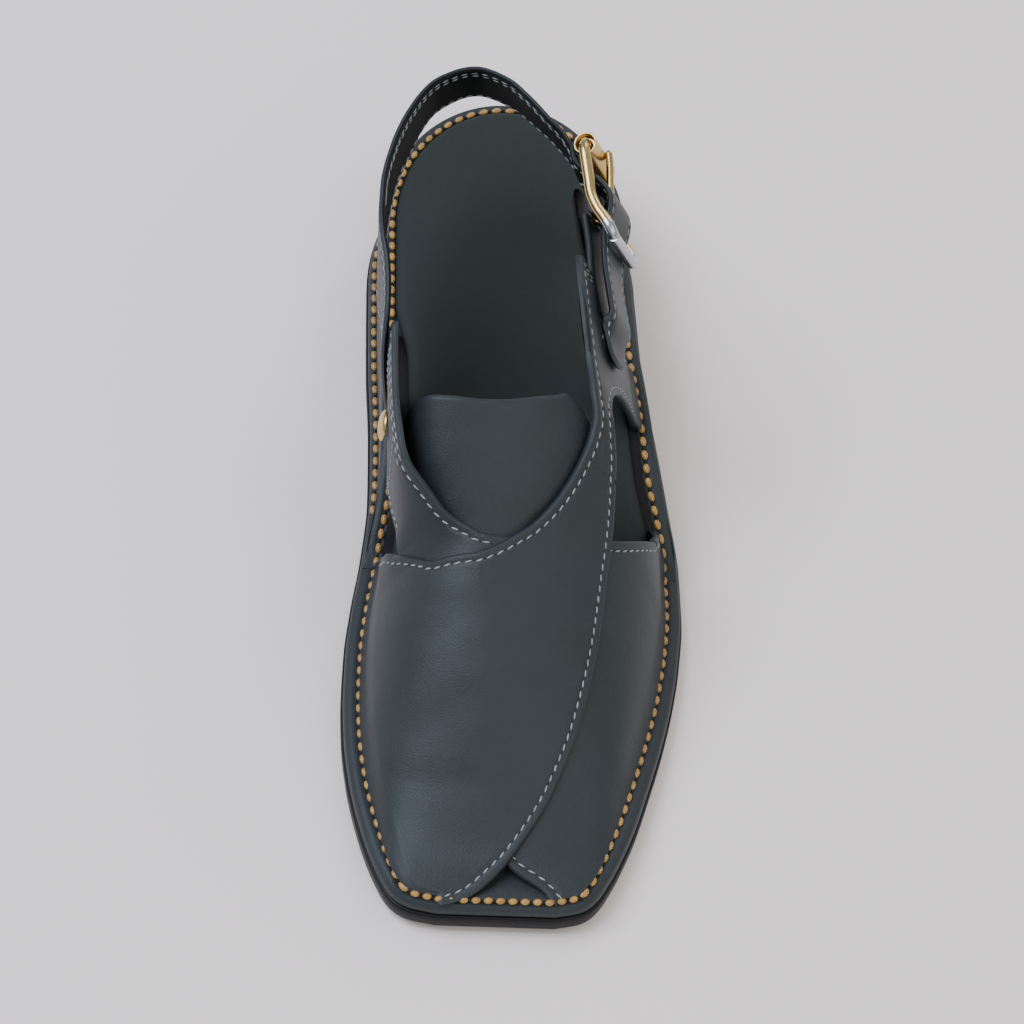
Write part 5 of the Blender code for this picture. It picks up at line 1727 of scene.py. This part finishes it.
class CHAPPAL_OT_welt_thread(Operator):
    """Gold welt thread round the toe, down both sides and round the heel seat"""

    bl_idname = "chappal.welt_thread"
    bl_label = "Gold welt thread"

    def execute(self, context):
        finishes()
        s = sizes()
        thread = dict(thread="gold_waxed_thread", width=s.bead_width, height=s.bead_width * 0.85, skew=0.12,
                      hole=0.0013)
        # The toe's line runs out to both corners, so it is read from its two outer ends to the middle
        toe = both_sides((0.012, 0.0), (0.012, 0.0), thread_inset, welt_top, THREAD_LIFT, 30)
        sew("gold_thread_toe", [toe], pitch=s.toe_pitch, length=s.bead_length * 0.82, **thread)
        sides = both_sides((0.0145, 0.9995), (0.0145, 0.9995), thread_inset, seat_top, THREAD_LIFT, 700)
        sew("gold_thread_sides", [sides], pitch=s.side_pitch, length=s.bead_length, **thread)
        flange = both_sides((0.475, 0.9995), (0.90, 0.9995), flange_inset, welt_top, 0.0, 240)
        sew("gold_thread_heel_flange", [flange], pitch=s.heel_pitch, length=s.bead_length, **thread)
        return {"FINISHED"}


class CHAPPAL_OT_stitching(Operator):
    """Grey lock stitches along the edges of the bands and the heel strap"""

    bl_idname = "chappal.stitching"
    bl_label = "Grey stitching"

    def execute(self, context):
        finishes()
        s = sizes()
        sew("grey_stitching", GREY_SEAMS, thread="grey_bonded_thread", pitch=s.stitch_pitch,
            length=s.stitch_length, width=s.stitch_width, height=s.stitch_width, skew=0.16, hole=0.0006)
        return {"FINISHED"}


# The photograph's camera, read from the shoe's own outline: where it stands and where it looks
CAMERA_AT = Vector((-0.0501, -0.6472, 0.7181))
CAMERA_LOOKS = Vector((-0.037, 0.615, -0.788))
CAMERA_ROLL = math.radians(-0.334)
FOCAL_PIXELS = 3000.0
IMAGE_PIXELS = 1024.0
SENSOR = 36.0
# Middle of the shoe in the photograph's frame, in pixels from its centre
SHOE_RIGHT = 296.0
SHOE_DOWN = 38.0

# Soft round lamps: name, place, width in metres, watts and tone
LIGHTS = (
    ("key_softbox", (-0.84, -0.04, 1.42), 1.2, 31.0, (0.76, 0.82, 1.0)),
    ("outer_fill", (1.15, -0.45, 1.2), 1.3, 5.0, (1.0, 1.0, 0.90)),
    ("front_fill", (0.55, -1.5, 1.3), 1.6, 10.0, (1.0, 0.97, 0.95)),
    ("heel_rim", (0.7, 1.2, 1.0), 0.9, 6.0, (0.97, 0.97, 1.0)),
)
LIT_POINT = Vector((0.0, -0.1, 0.02))
ROOM_COLOUR = (0.93, 0.95, 1.0, 1.0)
ROOM_STRENGTH = 0.50
FLOOR_REACH = 6.0


class CHAPPAL_OT_stage(Operator):
    """Plain pale floor, soft studio light and the photograph's camera"""

    bl_idname = "chappal.stage"
    bl_label = "Stage"

    def execute(self, context):
        scene = context.scene
        mesh = bpy.data.meshes.new("floor")
        corners = [(x * FLOOR_REACH, y * FLOOR_REACH, 0) for x, y in ((-1, -1), (1, -1), (1, 1), (-1, 1))]
        mesh.from_pydata(corners, [], [(0, 1, 2, 3)])
        mesh.materials.append(finish_of("matt_painted_floor", tuple(colours().floor), 0.75)[0])
        in_scene("floor", mesh)
        for name, place, size, power, tone in LIGHTS:
            light = bpy.data.lights.new(name, "AREA")
            light.shape = "DISK"
            light.size = size
            light.energy = power
            light.color = tone
            lamp = in_scene(name, light)
            lamp.location = place
            aim = LIT_POINT - Vector(place)
            lamp.rotation_euler = aim.to_track_quat("-Z", "Y").to_euler()
        world = bpy.data.worlds.new("soft_room")
        world.use_nodes = True
        sky = world.node_tree.nodes["Background"]
        sky.inputs["Color"].default_value = ROOM_COLOUR
        sky.inputs["Strength"].default_value = ROOM_STRENGTH
        scene.world = world
        lens = bpy.data.cameras.new("photo_camera")
        lens.sensor_width = SENSOR
        lens.lens = FOCAL_PIXELS / IMAGE_PIXELS * SENSOR
        lens.clip_start = 0.01
        lens.clip_end = 30.0
        camera = in_scene("photo_camera", lens)
        forward = CAMERA_LOOKS.normalized()
        right = forward.cross(Vector((0, 0, 1))).normalized()
        above = right.cross(forward)
        turn = Matrix((right, above, -forward)).transposed().to_4x4()
        roll = Matrix.Rotation(CAMERA_ROLL, 4, "Z")
        down = -math.atan(SHOE_DOWN / FOCAL_PIXELS)
        aside = -math.atan(SHOE_RIGHT / FOCAL_PIXELS)
        aim = Euler((down, aside, 0.0)).to_matrix().to_4x4()
        camera.matrix_world = Matrix.Translation(CAMERA_AT) @ turn @ roll @ aim
        scene.camera = camera
        return {"FINISHED"}


class CHAPPAL_PT_pieces(Panel):
    """Sidebar panel that builds the chappal piece by piece"""

    bl_label = "Chappal"
    bl_idname = "CHAPPAL_PT_pieces"
    bl_space_type = "VIEW_3D"
    bl_region_type = "UI"
    bl_category = "Chappal"

    def draw(self, context):
        for piece in PIECES:
            self.layout.operator(piece.bl_idname)
        for group in (context.scene.chappal_colours, context.scene.chappal_sizes):
            box = self.layout.box()
            for name in group.bl_rna.properties.keys():
                if name not in {"rna_type", "name"}:
                    box.prop(group, name)


PIECES = (CHAPPAL_OT_sole, CHAPPAL_OT_bands, CHAPPAL_OT_tongue, CHAPPAL_OT_heel_strap, CHAPPAL_OT_buckle,
          CHAPPAL_OT_welt_thread, CHAPPAL_OT_stitching, CHAPPAL_OT_stage)
CLASSES = (ChappalColours, ChappalSizes) + PIECES + (CHAPPAL_PT_pieces,)


def register():
    for made in CLASSES:
        bpy.utils.register_class(made)
    bpy.types.Scene.chappal_colours = PointerProperty(type=ChappalColours)
    bpy.types.Scene.chappal_sizes = PointerProperty(type=ChappalSizes)


def unregister():
    del bpy.types.Scene.chappal_sizes
    del bpy.types.Scene.chappal_colours
    for made in reversed(CLASSES):
        bpy.utils.unregister_class(made)


def main():
    register()
    bpy.ops.chappal.sole()
    bpy.ops.chappal.bands()
    bpy.ops.chappal.tongue()
    bpy.ops.chappal.heel_strap()
    bpy.ops.chappal.buckle()
    bpy.ops.chappal.welt_thread()
    bpy.ops.chappal.stitching()
    bpy.ops.chappal.stage()
    bpy.context.view_layer.update()


if __name__ == "__main__":
    main()
